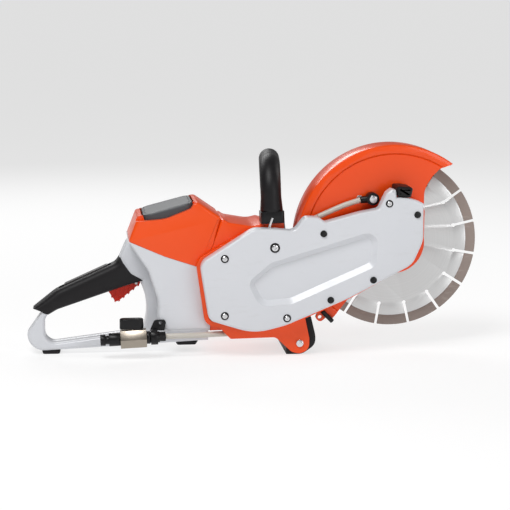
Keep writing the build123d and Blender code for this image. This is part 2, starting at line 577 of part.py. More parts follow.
with BuildPart() as ribbed_belt:
    for extra, belt_mode in ((BELT_GAP + BELT_BACK, Mode.ADD), (BELT_GAP, Mode.SUBTRACT)):
        with BuildSketch(at_y(BELT_MID + BELT_W / 2)) as loop:
            with Locations(*MOTOR):
                Circle(DRIVE_R + extra)
            with Locations(*WHEEL):
                Circle(DRIVEN_R + extra)
            make_hull()
        extrude(loop.sketch, amount=BELT_W, mode=belt_mode)
save(ribbed_belt, "ribbed_belt")

# The roller presses on the belt's lower run, part of the way along it.
BELT_SPAN = hypot(WHEEL_X - MOTOR_X, WHEEL_Z - MOTOR_Z)
BELT_ANGLE = degrees(atan2(WHEEL_Z - MOTOR_Z, WHEEL_X - MOTOR_X) - asin((DRIVEN_R - DRIVE_R) / BELT_SPAN))
ROLLER_ALONG = 48.0
ROLLER_OUT = DRIVE_R + 2 * BELT_GAP + BELT_BACK + ROLLER_R
ROLLER = (
    MOTOR_X + ROLLER_ALONG * cos(radians(BELT_ANGLE)) + ROLLER_OUT * sin(radians(BELT_ANGLE)),
    MOTOR_Z + ROLLER_ALONG * sin(radians(BELT_ANGLE)) - ROLLER_OUT * cos(radians(BELT_ANGLE)),
)
TENSION_PIVOT = (ROLLER[0] + 26, ROLLER[1] + 3)

with BuildPart() as belt_roller:
    discs([ROLLER], BELT_MID - PULLEY_W / 2, BELT_MID + PULLEY_W / 2 - 3, ROLLER_R)
    discs([ROLLER], -100, 0, 3 + RUNNING_GAP, Mode.SUBTRACT)
save(belt_roller, "belt_roller")

with BuildPart() as tension_arm:
    with BuildSketch(at_y(TRAY_FLOOR)) as plate:
        with Locations(ROLLER, TENSION_PIVOT):
            Circle(6)
        make_hull()
    extrude(plate.sketch, amount=3)
    discs([TENSION_PIVOT], TRAY_FLOOR - 6, TRAY_FLOOR, 5)
    discs([ROLLER], BELT_MID - PULLEY_W / 2, TRAY_FLOOR, 3)
save(tension_arm, "tension_arm")

# ---------------------------------------------------------------- spindle, washers and wheel
SHOULDER_NEAR, SHOULDER_FAR = -39.6, -34.0
WASHER_R = 26.0
CORE_NEAR, CORE_FAR = WHEEL_Y - CORE_T / 2, WHEEL_Y + CORE_T / 2
BOLT_R, BOLT_HEAD_END = 5.0, -10.0
OUTER_WASHER_FAR = -18.0

with BuildPart() as spindle:
    discs(WHEEL, BELT_MID - PULLEY_W / 2, SHOULDER_FAR, SPINDLE_R)
    discs(WHEEL, SHOULDER_NEAR, SHOULDER_FAR, 11)
    discs(WHEEL, -52, SHOULDER_FAR, BOLT_R, Mode.SUBTRACT)
save(spindle, "spindle")

with BuildPart() as spindle_bearings:
    for bearing_near in (ARM_BACK, HUB_END - BEARING_W + 1):
        discs(WHEEL, bearing_near, bearing_near + BEARING_W - 1, BEARING_R)
    discs(WHEEL, -100, 0, SPINDLE_R + RUNNING_GAP, Mode.SUBTRACT)
save(spindle_bearings, "spindle_bearings")

with BuildPart() as inner_washer:
    discs(WHEEL, SHOULDER_FAR, CORE_NEAR, WASHER_R)
    discs(WHEEL, CORE_NEAR - 0.8, CORE_NEAR, WASHER_R - 5, Mode.SUBTRACT)
    discs(WHEEL, CORE_NEAR - 0.8, CORE_FAR - 0.3, WHEEL_BORE_R)
    discs(WHEEL, SHOULDER_FAR, 0, BOLT_R, Mode.SUBTRACT)
save(inner_washer, "inner_washer")

with BuildPart() as outer_washer:
    discs(WHEEL, CORE_FAR, OUTER_WASHER_FAR, WASHER_R)
    discs(WHEEL, CORE_FAR, CORE_FAR + 0.8, WASHER_R - 5, Mode.SUBTRACT)
    discs(WHEEL, -100, 0, BOLT_R, Mode.SUBTRACT)
    chamfer(outer_washer.faces().sort_by(Axis.Y)[-1].edges().sort_by(SortBy.LENGTH)[-1], 2)
save(outer_washer, "outer_washer")

with BuildPart() as wheel_bolt:
    discs(WHEEL, -51.5, OUTER_WASHER_FAR, BOLT_R)
    discs(WHEEL, OUTER_WASHER_FAR, OUTER_WASHER_FAR + 1.5, 10.5)
    with BuildSketch(at_y(BOLT_HEAD_END)):
        with Locations(*WHEEL):
            RegularPolygon(8.5, 6, major_radius=False)
    extrude(amount=BOLT_HEAD_END - OUTER_WASHER_FAR)
save(wheel_bolt, "wheel_bolt")

with BuildPart() as wheel_core:
    with BuildSketch(at_y(CORE_FAR)):
        with Locations(*WHEEL):
            Circle(CORE_R)
            Circle(WHEEL_BORE_R, mode=Mode.SUBTRACT)
            with PolarLocations((SLOT_END_R + CORE_R) / 2 + 1, SEGMENTS, start_angle=SLOT_PHASE):
                Rectangle(CORE_R - SLOT_END_R + 2, SLOT_WIDTH, mode=Mode.SUBTRACT)
            with PolarLocations(SLOT_END_R, SEGMENTS, start_angle=SLOT_PHASE):
                Circle(KEYHOLE_R, mode=Mode.SUBTRACT)
    extrude(amount=CORE_T)
save(wheel_core, "wheel_core")

with BuildPart() as wheel_segments:
    with BuildSketch(at_y(WHEEL_Y + SEGMENT_T / 2)):
        with Locations(*WHEEL):
            Circle(WHEEL_R)
            Circle(CORE_R, mode=Mode.SUBTRACT)
            with PolarLocations((WHEEL_R + CORE_R) / 2, SEGMENTS, start_angle=SLOT_PHASE):
                Rectangle(20, SLOT_WIDTH, mode=Mode.SUBTRACT)
    extrude(amount=SEGMENT_T)
save(wheel_segments, "wheel_segments")

# ---------------------------------------------------------------- guard
LUG_R, LUG_ANGLE, LUG_HALF, LUG_HOLE_R = 139.4, 225.0, 5.6, 2.6
GUARD_INNER_R = GUARD_R - GUARD_WALL
FAR_OPEN_R = 55.0
GRIP_ANGLE, GRIP_SPAN, GRIP_IN, GRIP_OUT = 84.8, 15.8, 65.6, 79.0
GUARD_SCREWS = [polar(76, 128), polar(76, 158), polar(76, 188)]

with BuildPart() as guard_shell:
    discs(WHEEL, GUARD_FACE - RIM_PROUD, GUARD_FAR, GUARD_R)
    fillet(guard_shell.faces().sort_by(Axis.Y)[0].edges(), 2.5)
    discs(WHEEL, GUARD_FACE - RIM_PROUD, GUARD_FACE, RIM_R, Mode.SUBTRACT)
    discs(WHEEL, GUARD_FACE + GUARD_WALL, GUARD_FAR - GUARD_WALL, GUARD_INNER_R, Mode.SUBTRACT)
    discs(WHEEL, GUARD_FAR - GUARD_WALL, GUARD_FAR, FAR_OPEN_R, Mode.SUBTRACT)
    slab(sector(GUARD_R, GUARD_FRONT, GUARD_TAIL), GUARD_FACE - RIM_PROUD, GUARD_FAR, Mode.INTERSECT)
    slab(                                                      # near wall's front edge, drawn back from the rim
        [(225, 188, 0), (225, 215, 30), (236, 233, 6), (246, 242.5, 0), (300, 262, 0), (300, 188, 0)],
        GUARD_FACE - RIM_PROUD - 1, GUARD_FACE + GUARD_WALL + 10, Mode.SUBTRACT,
    )
    discs(WHEEL, GUARD_FACE, GUARD_FACE + GUARD_WALL, COLLAR_R + 6)
    discs(WHEEL, GUARD_FACE, HUB_END - 0.3, COLLAR_R)
    discs(WHEEL, GUARD_FACE - 5, HUB_END + 5, HUB_R + 0.05, Mode.SUBTRACT)
    slab(                                                      # lug at the tail
        [
            (*polar(GUARD_INNER_R + 1, LUG_ANGLE - 3), 0), (*polar(LUG_R, LUG_ANGLE - 2.2), 0),
            (*polar(LUG_R, LUG_ANGLE + 2.2), 0), (*polar(GUARD_INNER_R + 1, LUG_ANGLE + 3), 0),
        ],
        GUARD_FACE - RIM_PROUD, GUARD_FACE + 3,
    )
    discs([polar(LUG_R, LUG_ANGLE)], GUARD_FACE - RIM_PROUD, GUARD_FACE + 3, LUG_HALF)
    discs([polar(LUG_R, LUG_ANGLE)], GUARD_FACE - 5, GUARD_FACE + 5, LUG_HOLE_R, Mode.SUBTRACT)
    discs(GUARD_SCREWS, GUARD_FACE - 5, GUARD_FACE + GUARD_WALL, 2, Mode.SUBTRACT)
save(guard_shell, "guard_shell")

with BuildPart() as guard_retainer:
    discs(WHEEL, HUB_END, HUB_END + 2, 33)
    discs(WHEEL, HUB_END, HUB_END + 2, BEARING_R - 3, Mode.SUBTRACT)
save(guard_retainer, "guard_retainer")

with BuildPart() as guard_grip:
    with BuildSketch(at_y(GUARD_FACE)) as block:
        with Locations(*WHEEL):
            Circle(GRIP_OUT)
            Circle(GRIP_IN, mode=Mode.SUBTRACT)
        with BuildLine():
            Polyline(
                (WHEEL_X, WHEEL_Z), polar(90, GRIP_ANGLE - GRIP_SPAN / 2), polar(90, GRIP_ANGLE + GRIP_SPAN / 2),
                close=True,
            )
        make_face(mode=Mode.INTERSECT)
    extrude(block.sketch, amount=GUARD_FACE - COVER_FACE)
    fillet(guard_grip.edges().filter_by(Axis.Y), 2.5)
    fillet(guard_grip.faces().sort_by(Axis.Y)[0].edges(), 1.5)
save(guard_grip, "guard_grip")

NOZZLE_R = 3.0
nozzle_near, nozzle_far = (89.3, 54.8), (102.9, 40.9)
with BuildPart() as spray_nozzle:
    nozzle_run = Vector(nozzle_far[0] - nozzle_near[0], 0, nozzle_far[1] - nozzle_near[1])
    with BuildSketch(
        Plane(origin=(nozzle_near[0], GUARD_FACE - RIM_PROUD - NOZZLE_R, nozzle_near[1]), z_dir=nozzle_run)
    ):
        Circle(NOZZLE_R)
    extrude(amount=nozzle_run.length)
save(spray_nozzle, "spray_nozzle")

# ---------------------------------------------------------------- water line
pipe_plane = Plane(origin=(PIPE_X, PIPE_Y, PIPE_Z), z_dir=(cos(radians(PIPE_TILT)), 0, sin(radians(PIPE_TILT))))
FERRULE_END = -119.8
KNOB_X = -164.0


def ring_stack(rows):
    """Round sections along the water coupling, from (x start, x end, radius) rows."""
    for x_start, x_end, radius in rows:
        with BuildSketch(pipe_plane.offset(x_start - PIPE_X)) as section:
            Circle(radius)
        extrude(section.sketch, amount=x_end - x_start)


def bore_through():
    """Water way through a fitting, for use inside a BuildPart."""
    with BuildSketch(pipe_plane.offset(-60)) as section:
        Circle(HOSE_BORE_R)
    extrude(section.sketch, amount=120, mode=Mode.SUBTRACT)


with BuildPart() as hose_plug:
    ring_stack([(-204.7, -198, 7.4), (-198, -193.5, 5.8), (-193.5, -178.6, 8.6)])
    bore_through()
save(hose_plug, "hose_plug")

with BuildPart() as valve_body:
    with BuildSketch(pipe_plane.offset(-178.6 - PIPE_X)):
        RegularPolygon(11.5, 6, major_radius=False, rotation=30)
    extrude(amount=33.9)
    with BuildSketch(Plane(origin=(KNOB_X, PIPE_Y, PIPE_Z))):
        Circle(5)
    extrude(amount=12.5)
    bore_through()
    with BuildSketch(Plane(origin=(KNOB_X, PIPE_Y, PIPE_Z + 2))):
        Circle(3.05)
    extrude(amount=11, mode=Mode.SUBTRACT)
save(valve_body, "valve_body")

with BuildPart() as valve_knob:
    with BuildSketch(Plane(origin=(KNOB_X, PIPE_Y, PIPE_Z + 5))):
        Circle(3)
    extrude(amount=9)
    with BuildSketch(Plane(origin=(KNOB_X, PIPE_Y, PIPE_Z + 13))):
        SlotOverall(31, 13)
    extrude(amount=13.5)
    fillet(valve_knob.faces().sort_by(Axis.Z)[-1].edges(), 2)
save(valve_knob, "valve_knob")

with BuildPart() as hose_collar:
    ring_stack([(-144.7, -140, 8.4), (-140, -127.6, 7.2), (-127.6, FERRULE_END, 6.2)])
    bore_through()
save(hose_collar, "hose_collar")

with BuildPart() as coupling_clip:
    with BuildSketch(pipe_plane.offset(-139 - PIPE_X)):
        Circle(10)
        Circle(7.3, mode=Mode.SUBTRACT)
    extrude(amount=9)
    slab([(-140, 36, 0), (-121, 36, 0), (-118, 50, 4), (-134, 50, 4)], BODY_NEAR - 4, BODY_NEAR - 0.2)
    with BuildSketch(Plane(origin=(-126, BODY_NEAR, 46), z_dir=(0, -1, 0))):
        Circle(2)
    extrude(amount=10, mode=Mode.SUBTRACT)
save(coupling_clip, "coupling_clip")

HOSE_START = (FERRULE_END + 0.3, PIPE_Y, PIPE_Z + (FERRULE_END - PIPE_X) * sin(radians(PIPE_TILT)))
LOWER_HOSE = [
    HOSE_START, (-78, -70, 29.6), (-42, -56.6, 28.4), (36, -56.6, 27.2), (48, -56.4, 44), (47, -56.4, 150),
    (60, -57, 172), (82, -58, 182.2),
]
UPPER_HOSE = [(82.4, -58, 182.4), (101, -58, 190.6), (118, -58, 197.8), (137.5, -58, 203.6)]


def bend_radii(points):
    """Largest practical arc at each inner corner of a hose's path."""
    radii = []
    for before, here, after in zip(points, points[1:], points[2:]):
        run_in, run_out = Vector(here) - Vector(before), Vector(after) - Vector(here)
        half_turn = radians(run_in.get_angle(run_out)) / 2
        radii.append(0.45 * min(run_in.length, run_out.length) / tan(half_turn))
    return radii


def tube(points, rings):
    """Round tube along a bent path, from (radius, mode) rings, for use inside a BuildPart."""
    with BuildLine() as route:
        FilletPolyline(*points, radius=bend_radii(points))
    start = Plane(origin=points[0], z_dir=Vector(points[1]) - Vector(points[0]))
    for radius, ring_mode in rings:
        with BuildSketch(start) as section:
            Circle(radius)
        sweep(section.sketch, path=route.line, mode=ring_mode)


for hose_name, hose_points in (("water_hose_lower", LOWER_HOSE), ("water_hose_upper", UPPER_HOSE)):
    with BuildPart() as hose:
        tube(hose_points, [(HOSE_R, Mode.ADD), (HOSE_BORE_R, Mode.SUBTRACT)])
    print(hose_name, "bend radii", [round(r, 1) for r in bend_radii(hose_points)])
    save(hose, hose_name)

ELBOW_NEAR = -64.0
barb_run = Vector(ELBOW_X - UPPER_HOSE[-1][0], 0, ELBOW_Z - UPPER_HOSE[-1][2])
with BuildPart() as guard_elbow:
    discs([(ELBOW_X, ELBOW_Z)], ELBOW_NEAR, GUARD_FACE, 8.2)
    discs([(ELBOW_X, ELBOW_Z)], ELBOW_NEAR, GUARD_FACE, 3, Mode.SUBTRACT)
    with BuildSketch(Plane(origin=UPPER_HOSE[-1], z_dir=barb_run).offset(0.9)):
        Circle(4.6)
    extrude(amount=barb_run.length - 5)
save(guard_elbow, "guard_elbow")

with BuildPart() as guard_screws:
    discs(GUARD_SCREWS, GUARD_FACE - 0.9, GUARD_FACE, 4)
    discs(GUARD_SCREWS, GUARD_FACE, GUARD_FACE + GUARD_WALL, 2)
    discs([(ELBOW_X, ELBOW_Z)], ELBOW_NEAR - 1.6, ELBOW_NEAR, 5)
    discs([(ELBOW_X, ELBOW_Z)], ELBOW_NEAR, GUARD_FACE, 3)
save(guard_screws, "guard_screws")

# ---------------------------------------------------------------- front handle
NEAR_LEG_Y, FAR_LEG_Y = -60.0, 76.0
HANDLE_TOP = 249.0
SLEEVE_START = 16.0
HANDLE_PATH = [
    (21, NEAR_LEG_Y, 176.3), (18, NEAR_LEG_Y, HANDLE_TOP), (32, FAR_LEG_Y, HANDLE_TOP), (34, FAR_LEG_Y, 205),
    (SOCKET_X, FAR_LEG_Y, SOCKET_Z),
]
HANDLE_RADII = [38, 30, 60]


def along(start, towards, distance):
    """Point at a distance from one point towards another."""
    step = (Vector(towards) - Vector(start)).normalized() * distance
    return tuple(Vector(start) + step)


def handle_tube(points, outer_r, inner_r):
    """Tube along the front handle's bent path, for use inside a BuildPart."""
    with BuildLine() as route:
        FilletPolyline(*points, radius=HANDLE_RADII)
    start = Plane(origin=points[0], z_dir=Vector(points[1]) - Vector(points[0]))
    with BuildSketch(start) as section:
        Circle(outer_r)
        Circle(inner_r, mode=Mode.SUBTRACT)
    sweep(section.sketch, path=route.line)


with BuildPart() as handle_bar:
    handle_tube(HANDLE_PATH, TUBE_R, TUBE_BORE_R)
save(handle_bar, "handle_bar")

sleeve_path = list(HANDLE_PATH)
sleeve_path[0] = along(HANDLE_PATH[0], HANDLE_PATH[1], SLEEVE_START)
sleeve_path[-1] = along(HANDLE_PATH[-1], HANDLE_PATH[-2], SLEEVE_START)
with BuildPart() as handle_sleeve:
    handle_tube(sleeve_path, SLEEVE_R, TUBE_R)
save(handle_sleeve, "handle_sleeve")

SOCKET_R, SOCKET_DEPTH = 16.0, 15.0
near_socket = Plane(origin=HANDLE_PATH[0], z_dir=Vector(HANDLE_PATH[1]) - Vector(HANDLE_PATH[0]))
far_socket = Plane(origin=HANDLE_PATH[-1], z_dir=Vector(HANDLE_PATH[-2]) - Vector(HANDLE_PATH[-1]))

with BuildPart() as handle_mount_right:
    with BuildSketch(near_socket):
        RectangleRounded(31, 27, 4)
    extrude(amount=SOCKET_DEPTH)
    with BuildSketch(near_socket):
        Circle(TUBE_R)
    extrude(amount=SOCKET_DEPTH, mode=Mode.SUBTRACT)
save(handle_mount_right, "handle_mount_right")

with BuildPart() as handle_mount_left:
    with BuildSketch(far_socket.offset(-4)):
        Circle(SOCKET_R)
    extrude(amount=SOCKET_DEPTH + 4)
    slab(
        [(16, 112, 4), (36, 106, 0), (52, 98, 4), (55, 117, 4), (43, 122, 3), (35.5, 142, 4), (16, 142, 4)],
        BODY_FAR + 6, FAR_LEG_Y - SLEEVE_R,
    )
    with BuildSketch(far_socket):
        Circle(TUBE_R)
    extrude(amount=SOCKET_DEPTH + 30, mode=Mode.SUBTRACT)
save(handle_mount_left, "handle_mount_left")

with BuildPart() as handle_buffer:
    slab([(18, 113, 3), (35, 113, 3), (35, 140, 3), (18, 140, 3)], BODY_FAR, BODY_FAR + 6)
save(handle_buffer, "handle_buffer")

# ---------------------------------------------------------------- skid, support and outside screws
PAD = [
    (40, 0, 0), (61.5, 0, 17), (78.6, 12, 14), (79, 24, 30), (72.8, 50, 0), (63.2, 47.2, 0),
    (70, 23, 30), (69, 9.5, 8), (40, 9.5, 0),
]

with BuildPart() as skid_pad:
    slab(PAD, PAD_NEAR, PAD_FAR)
    slab([(49, 6, 0), (66, 6, 0), (66, 20, 6), (57, 25, 6), (49, 20, 6)], PAD_NEAR, PAD_FAR)
    discs([PIVOT], PAD_NEAR, PAD_FAR, PIN_R, Mode.SUBTRACT)
save(skid_pad, "skid_pad")

with BuildPart() as support_pin:
    discs([PIVOT], COVER_BACK, PAD_FAR + 5, PIN_R)
    discs([PIVOT], COVER_BACK - 1, COVER_BACK + 1, 4.7)
    discs([PIVOT], PAD_FAR + 5, PAD_FAR + 8, 6.5)
save(support_pin, "support_pin")

SIDE_SCREWS = [(-112, 62), (-72, 48), (-72, 104), (-150, 163), (-60, 176), (26, 62), (26, 158), (-48, 60)]
with BuildPart() as housing_screws:
    discs(SIDE_SCREWS, BODY_FAR, BODY_FAR + 1.8, 3.5)
save(housing_screws, "housing_screws")
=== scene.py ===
# %% [markdown]
# # A battery cut-off saw, finished in Blender
# The saw was designed in CAD. That model arrives here as a fixed frame: every part at its real size and
# place. This lesson gives each part its finish, and rebuilds the parts whose real shape is softer than a
# CAD solid.

import json
from math import atan2, cos, pi, radians, sin, tan

import bmesh
import bpy
from mathutils import Matrix, Vector


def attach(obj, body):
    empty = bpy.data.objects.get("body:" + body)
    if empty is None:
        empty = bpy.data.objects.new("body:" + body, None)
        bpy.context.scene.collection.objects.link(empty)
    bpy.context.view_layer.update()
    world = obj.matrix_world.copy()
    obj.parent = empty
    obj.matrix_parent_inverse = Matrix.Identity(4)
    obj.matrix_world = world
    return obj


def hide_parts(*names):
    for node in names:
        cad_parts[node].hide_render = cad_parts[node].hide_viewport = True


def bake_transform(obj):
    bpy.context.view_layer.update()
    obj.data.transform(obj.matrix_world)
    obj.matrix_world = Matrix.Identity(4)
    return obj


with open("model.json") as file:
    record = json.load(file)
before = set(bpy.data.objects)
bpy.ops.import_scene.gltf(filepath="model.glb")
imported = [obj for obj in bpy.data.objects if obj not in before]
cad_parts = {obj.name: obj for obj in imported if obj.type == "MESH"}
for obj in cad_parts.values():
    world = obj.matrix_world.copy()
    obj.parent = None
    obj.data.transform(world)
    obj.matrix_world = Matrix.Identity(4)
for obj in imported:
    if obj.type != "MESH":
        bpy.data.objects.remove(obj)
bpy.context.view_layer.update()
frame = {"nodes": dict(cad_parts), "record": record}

# %% [markdown]
# The camera comes first, so that every later step can be judged from the same place. It stands on the saw's
# right-hand side, a little above it and slightly to the rear, and far enough away to keep the wheel round.

# %% Camera
TARGET = Vector((0.0037, -0.012, 0.1255))
CAMERA_AZIMUTH, CAMERA_ELEVATION = radians(-6.0), radians(9.0)
CAMERA_DISTANCE = 2.2
FRAME_WIDTH = 0.683            # metres across the picture at the saw
SENSOR = 36.0                  # millimetres

backwards = Vector((
    sin(CAMERA_AZIMUTH) * cos(CAMERA_ELEVATION),
    -cos(CAMERA_AZIMUTH) * cos(CAMERA_ELEVATION),
    sin(CAMERA_ELEVATION),
))
camera_data = bpy.data.cameras.new("camera")
camera_data.sensor_width = SENSOR
camera_data.lens = SENSOR * CAMERA_DISTANCE / FRAME_WIDTH
camera = bpy.data.objects.new("camera", camera_data)
camera.location = TARGET + backwards * CAMERA_DISTANCE
camera.rotation_euler = (-backwards).to_track_quat("-Z", "Y").to_euler()
bpy.context.collection.objects.link(camera)
bpy.context.scene.camera = camera
print("camera at", tuple(round(v, 3) for v in camera.location), "lens", round(camera_data.lens, 1))

# %% [markdown]
# A catalogue picture of a tool uses big soft lights and a white sweep. Four large area lights do the work:
# a key light above and to the left, a wide fill from the front, a strip from the right that draws the
# edges, and one behind that lifts the far side. The world is white but dim, so that metal and gloss have
# something to reflect. The floor is so wide that its edge never shows.

# %% Light, floor and colour
FLOOR_SIZE = 400.0             # metres
WORLD_STRENGTH = 0.17
WHITE = (1.0, 1.0, 1.0, 1.0)


def area_light(name, place, aim, width, height, power):
    """Soft rectangular light that points at a place."""
    data = bpy.data.lights.new(name, "AREA")
    data.shape = "RECTANGLE"
    data.size, data.size_y, data.energy = width, height, power
    light = bpy.data.objects.new(name, data)
    light.location = place
    light.rotation_euler = (Vector(aim) - Vector(place)).to_track_quat("-Z", "Y").to_euler()
    bpy.context.collection.objects.link(light)


area_light("key", (-0.7, -1.1, 1.9), TARGET, 1.0, 0.8, 32)
area_light("fill", (1.4, -2.2, 0.8), TARGET, 1.2, 1.0, 14)
area_light("strip", (1.7, 0.5, 0.8), TARGET, 0.4, 1.2, 10)
area_light("back", (-0.5, 1.7, 1.2), TARGET, 1.4, 0.7, 14)

world = bpy.data.worlds.new("studio")
world.use_nodes = True
sky = world.node_tree.nodes["Background"]
sky.inputs["Color"].default_value = WHITE
sky.inputs["Strength"].default_value = WORLD_STRENGTH
bpy.context.scene.world = world
bpy.context.scene.view_settings.view_transform = "Standard"

floor_mesh = bpy.data.meshes.new("floor")
half = FLOOR_SIZE / 2
corners = [(-half, -half, 0), (half, -half, 0), (half, half, 0), (-half, half, 0)]
floor_mesh.from_pydata(corners, [], [(0, 1, 2, 3)])
floor = bpy.data.objects.new("floor", floor_mesh)
bpy.context.collection.objects.link(floor)
print("lights:", len(bpy.data.lights), "floor:", FLOOR_SIZE, "m")

# %% [markdown]
# ## Shared effects
# Several finishes share the same small effects, so each effect is a node group with its own dials. A group
# here only puts out masks, colours and heights. The shader itself stays in the material.


# %% Node helpers
def add_node(tree, kind, x, y, **settings):
    """New node at a place in the editor, with its plain settings."""
    node = tree.nodes.new(kind)
    node.location = (x, y)
    for key, value in settings.items():
        setattr(node, key, value)
    return node


def new_group(name, inputs, outputs):
    """Empty node group with float or colour sockets, and its input and output nodes."""
    tree = bpy.data.node_groups.new(name, "ShaderNodeTree")
    for label, value in inputs:
        kind = "NodeSocketColor" if isinstance(value, tuple) else "NodeSocketFloat"
        socket = tree.interface.new_socket(label, in_out="INPUT", socket_type=kind)
        socket.default_value = value
    for label, kind in outputs:
        tree.interface.new_socket(label, in_out="OUTPUT", socket_type=kind)
    return tree, add_node(tree, "NodeGroupInput", -900, 0), add_node(tree, "NodeGroupOutput", 600, 0)


def noise(tree, scale_socket, detail, x, y, source):
    """Noise texture on object coordinates, with its scale from a socket."""
    node = add_node(tree, "ShaderNodeTexNoise", x, y)
    node.inputs["Detail"].default_value = detail
    tree.links.new(source, node.inputs["Vector"])
    tree.links.new(scale_socket, node.inputs["Scale"])
    return node


def math_node(tree, operation, a, b, x, y):
    """Math node whose inputs are sockets or numbers."""
    node = add_node(tree, "ShaderNodeMath", x, y, operation=operation)
    for index, value in enumerate((a, b)):
        if isinstance(value, (int, float)):
            node.inputs[index].default_value = value
        else:
            tree.links.new(value, node.inputs[index])
    return node.outputs[0]


# %% Moulded grain
# Spark-eroded moulds leave a fine grain on plastic, and slow clouds of tone where the melt flowed.
grain, grain_in, grain_out = new_group(
    "moulded_grain",
    [
        ("Grain scale", 900.0), ("Cloud scale", 9.0), ("Base", (0.8, 0.8, 0.8, 1)),
        ("Shade", (0.7, 0.7, 0.7, 1)), ("Roughness", 0.45), ("Roughness spread", 0.12),
    ],
    [("Color", "NodeSocketColor"), ("Roughness", "NodeSocketFloat"), ("Height", "NodeSocketFloat")],
)
place = add_node(grain, "ShaderNodeTexCoord", -900, 300).outputs["Object"]
fine = noise(grain, grain_in.outputs["Grain scale"], 3.0, -600, 200, place)
cloud = noise(grain, grain_in.outputs["Cloud scale"], 4.0, -600, -200, place)
tint = add_node(grain, "ShaderNodeMix", 0, -100, data_type="RGBA")
grain.links.new(cloud.outputs["Fac"], tint.inputs["Factor"])
grain.links.new(grain_in.outputs["Base"], tint.inputs["A"])
grain.links.new(grain_in.outputs["Shade"], tint.inputs["B"])
spread = math_node(grain, "MULTIPLY", cloud.outputs["Fac"], grain_in.outputs["Roughness spread"], 0, -300)
rough = math_node(grain, "ADD", grain_in.outputs["Roughness"], spread, 200, -300)
grain.links.new(tint.outputs["Result"], grain_out.inputs["Color"])
grain.links.new(rough, grain_out.inputs["Roughness"])
grain.links.new(fine.outputs["Fac"], grain_out.inputs["Height"])
print("group:", grain.name, [s.name for s in grain.interface.items_tree])

# %% Handling marks
# Tools gather faint scuffs and dust. The mask is noise squeezed along one slightly turned axis, which draws
# its spots out into streaks, and only its highest peaks are kept.
SCUFF_FROM, SCUFF_FULL = 0.58, 0.75      # noise values at which a scuff begins and is complete
SCUFF_TURN = 0.35                        # radians, so that the streaks don't run square to the saw
marks, marks_in, marks_out = new_group(
    "handling_marks",
    [("Scale", 40.0), ("Stretch", 4.0), ("Amount", 0.3)],
    [("Mask", "NodeSocketFloat")],
)
place = add_node(marks, "ShaderNodeTexCoord", -900, 300).outputs["Object"]
spin = add_node(marks, "ShaderNodeMapping", -700, 200)
spin.inputs["Rotation"].default_value = (0.0, SCUFF_TURN, 0.0)
marks.links.new(place, spin.inputs["Vector"])
stretch = add_node(marks, "ShaderNodeCombineXYZ", -700, -100)
stretch.inputs["X"].default_value = stretch.inputs["Y"].default_value = 1.0
marks.links.new(marks_in.outputs["Stretch"], stretch.inputs["Z"])
marks.links.new(stretch.outputs["Vector"], spin.inputs["Scale"])
scuff = noise(marks, marks_in.outputs["Scale"], 6.0, -450, 100, spin.outputs["Vector"])
peaks = add_node(marks, "ShaderNodeMapRange", -200, 100)
peaks.inputs["From Min"].default_value, peaks.inputs["From Max"].default_value = SCUFF_FROM, SCUFF_FULL
marks.links.new(scuff.outputs["Fac"], peaks.inputs["Value"])
marks.links.new(
    math_node(marks, "MULTIPLY", peaks.outputs["Result"], marks_in.outputs["Amount"], 100, 100),
    marks_out.inputs["Mask"],
)
print("group:", marks.name)

# %% Turned lines
# A lathe or a polishing belt leaves fine rings about the turning axis. All turned metal on the saw turns
# about Y.
WHEEL_CENTRE = (0.185, 0.145)            # X and Z of the wheel's axis, in metres
rings, rings_in, rings_out = new_group(
    "turned_lines",
    [("Centre X", WHEEL_CENTRE[0]), ("Centre Z", WHEEL_CENTRE[1]), ("Ring scale", 1400.0)],
    [("Height", "NodeSocketFloat")],
)
place = add_node(rings, "ShaderNodeTexCoord", -900, 300).outputs["Object"]
parts = add_node(rings, "ShaderNodeSeparateXYZ", -700, 300)
rings.links.new(place, parts.inputs["Vector"])
dx = math_node(rings, "SUBTRACT", parts.outputs["X"], rings_in.outputs["Centre X"], -500, 300)
dz = math_node(rings, "SUBTRACT", parts.outputs["Z"], rings_in.outputs["Centre Z"], -500, 100)
xx = math_node(rings, "MULTIPLY", dx, dx, -350, 300)
zz = math_node(rings, "MULTIPLY", dz, dz, -350, 100)
radius = math_node(rings, "SQRT", math_node(rings, "ADD", xx, zz, -200, 200), 0, -100, 200)
line = add_node(rings, "ShaderNodeTexNoise", 100, 200, noise_dimensions="1D")
line.inputs["Detail"].default_value, line.inputs["Scale"].default_value = 2.0, 1.0
turns = math_node(rings, "MULTIPLY", radius, rings_in.outputs["Ring scale"], 0, 100)
rings.links.new(turns, line.inputs["W"])
rings.links.new(line.outputs["Fac"], rings_out.inputs["Height"])
print("group:", rings.name)

# %% [markdown]
# ## Finishes
# Each finish is one material. The dials of the shared groups are set here, and the numbers that stay the
# same all over a surface sit on the shader's own sockets.


# %% Making a finish
SCUFF_ROUGHNESS, RING_ROUGHNESS = 0.4, 0.15      # how much a full scuff and a full ring add to the roughness
RING_DEPTH = 0.00001                             # metres


def group_node(material, group, values, x, y):
    """Places a shared group in a material and sets its dials."""
    node = add_node(material.node_tree, "ShaderNodeGroup", x, y)
    node.node_tree = group
    for label, value in values.items():
        node.inputs[label].default_value = value
    return node


def start_finish(name, **fixed):
    """Material with a Principled shader and its constant sockets set."""
    material = bpy.data.materials.new(name)
    material.use_nodes = True
    shader = material.node_tree.nodes["Principled BSDF"]
    for label, value in fixed.items():
        shader.inputs[label.replace("_", " ")].default_value = value
    return material, shader


def bump_into(material, shader, height, distance):
    """Bump node from a height socket into the shader, with its depth in metres."""
    tree = material.node_tree
    bump = add_node(tree, "ShaderNodeBump", -250, -350)
    bump.inputs["Distance"].default_value = distance
    tree.links.new(height, bump.inputs["Height"])
    tree.links.new(bump.outputs["Normal"], shader.inputs["Normal"])


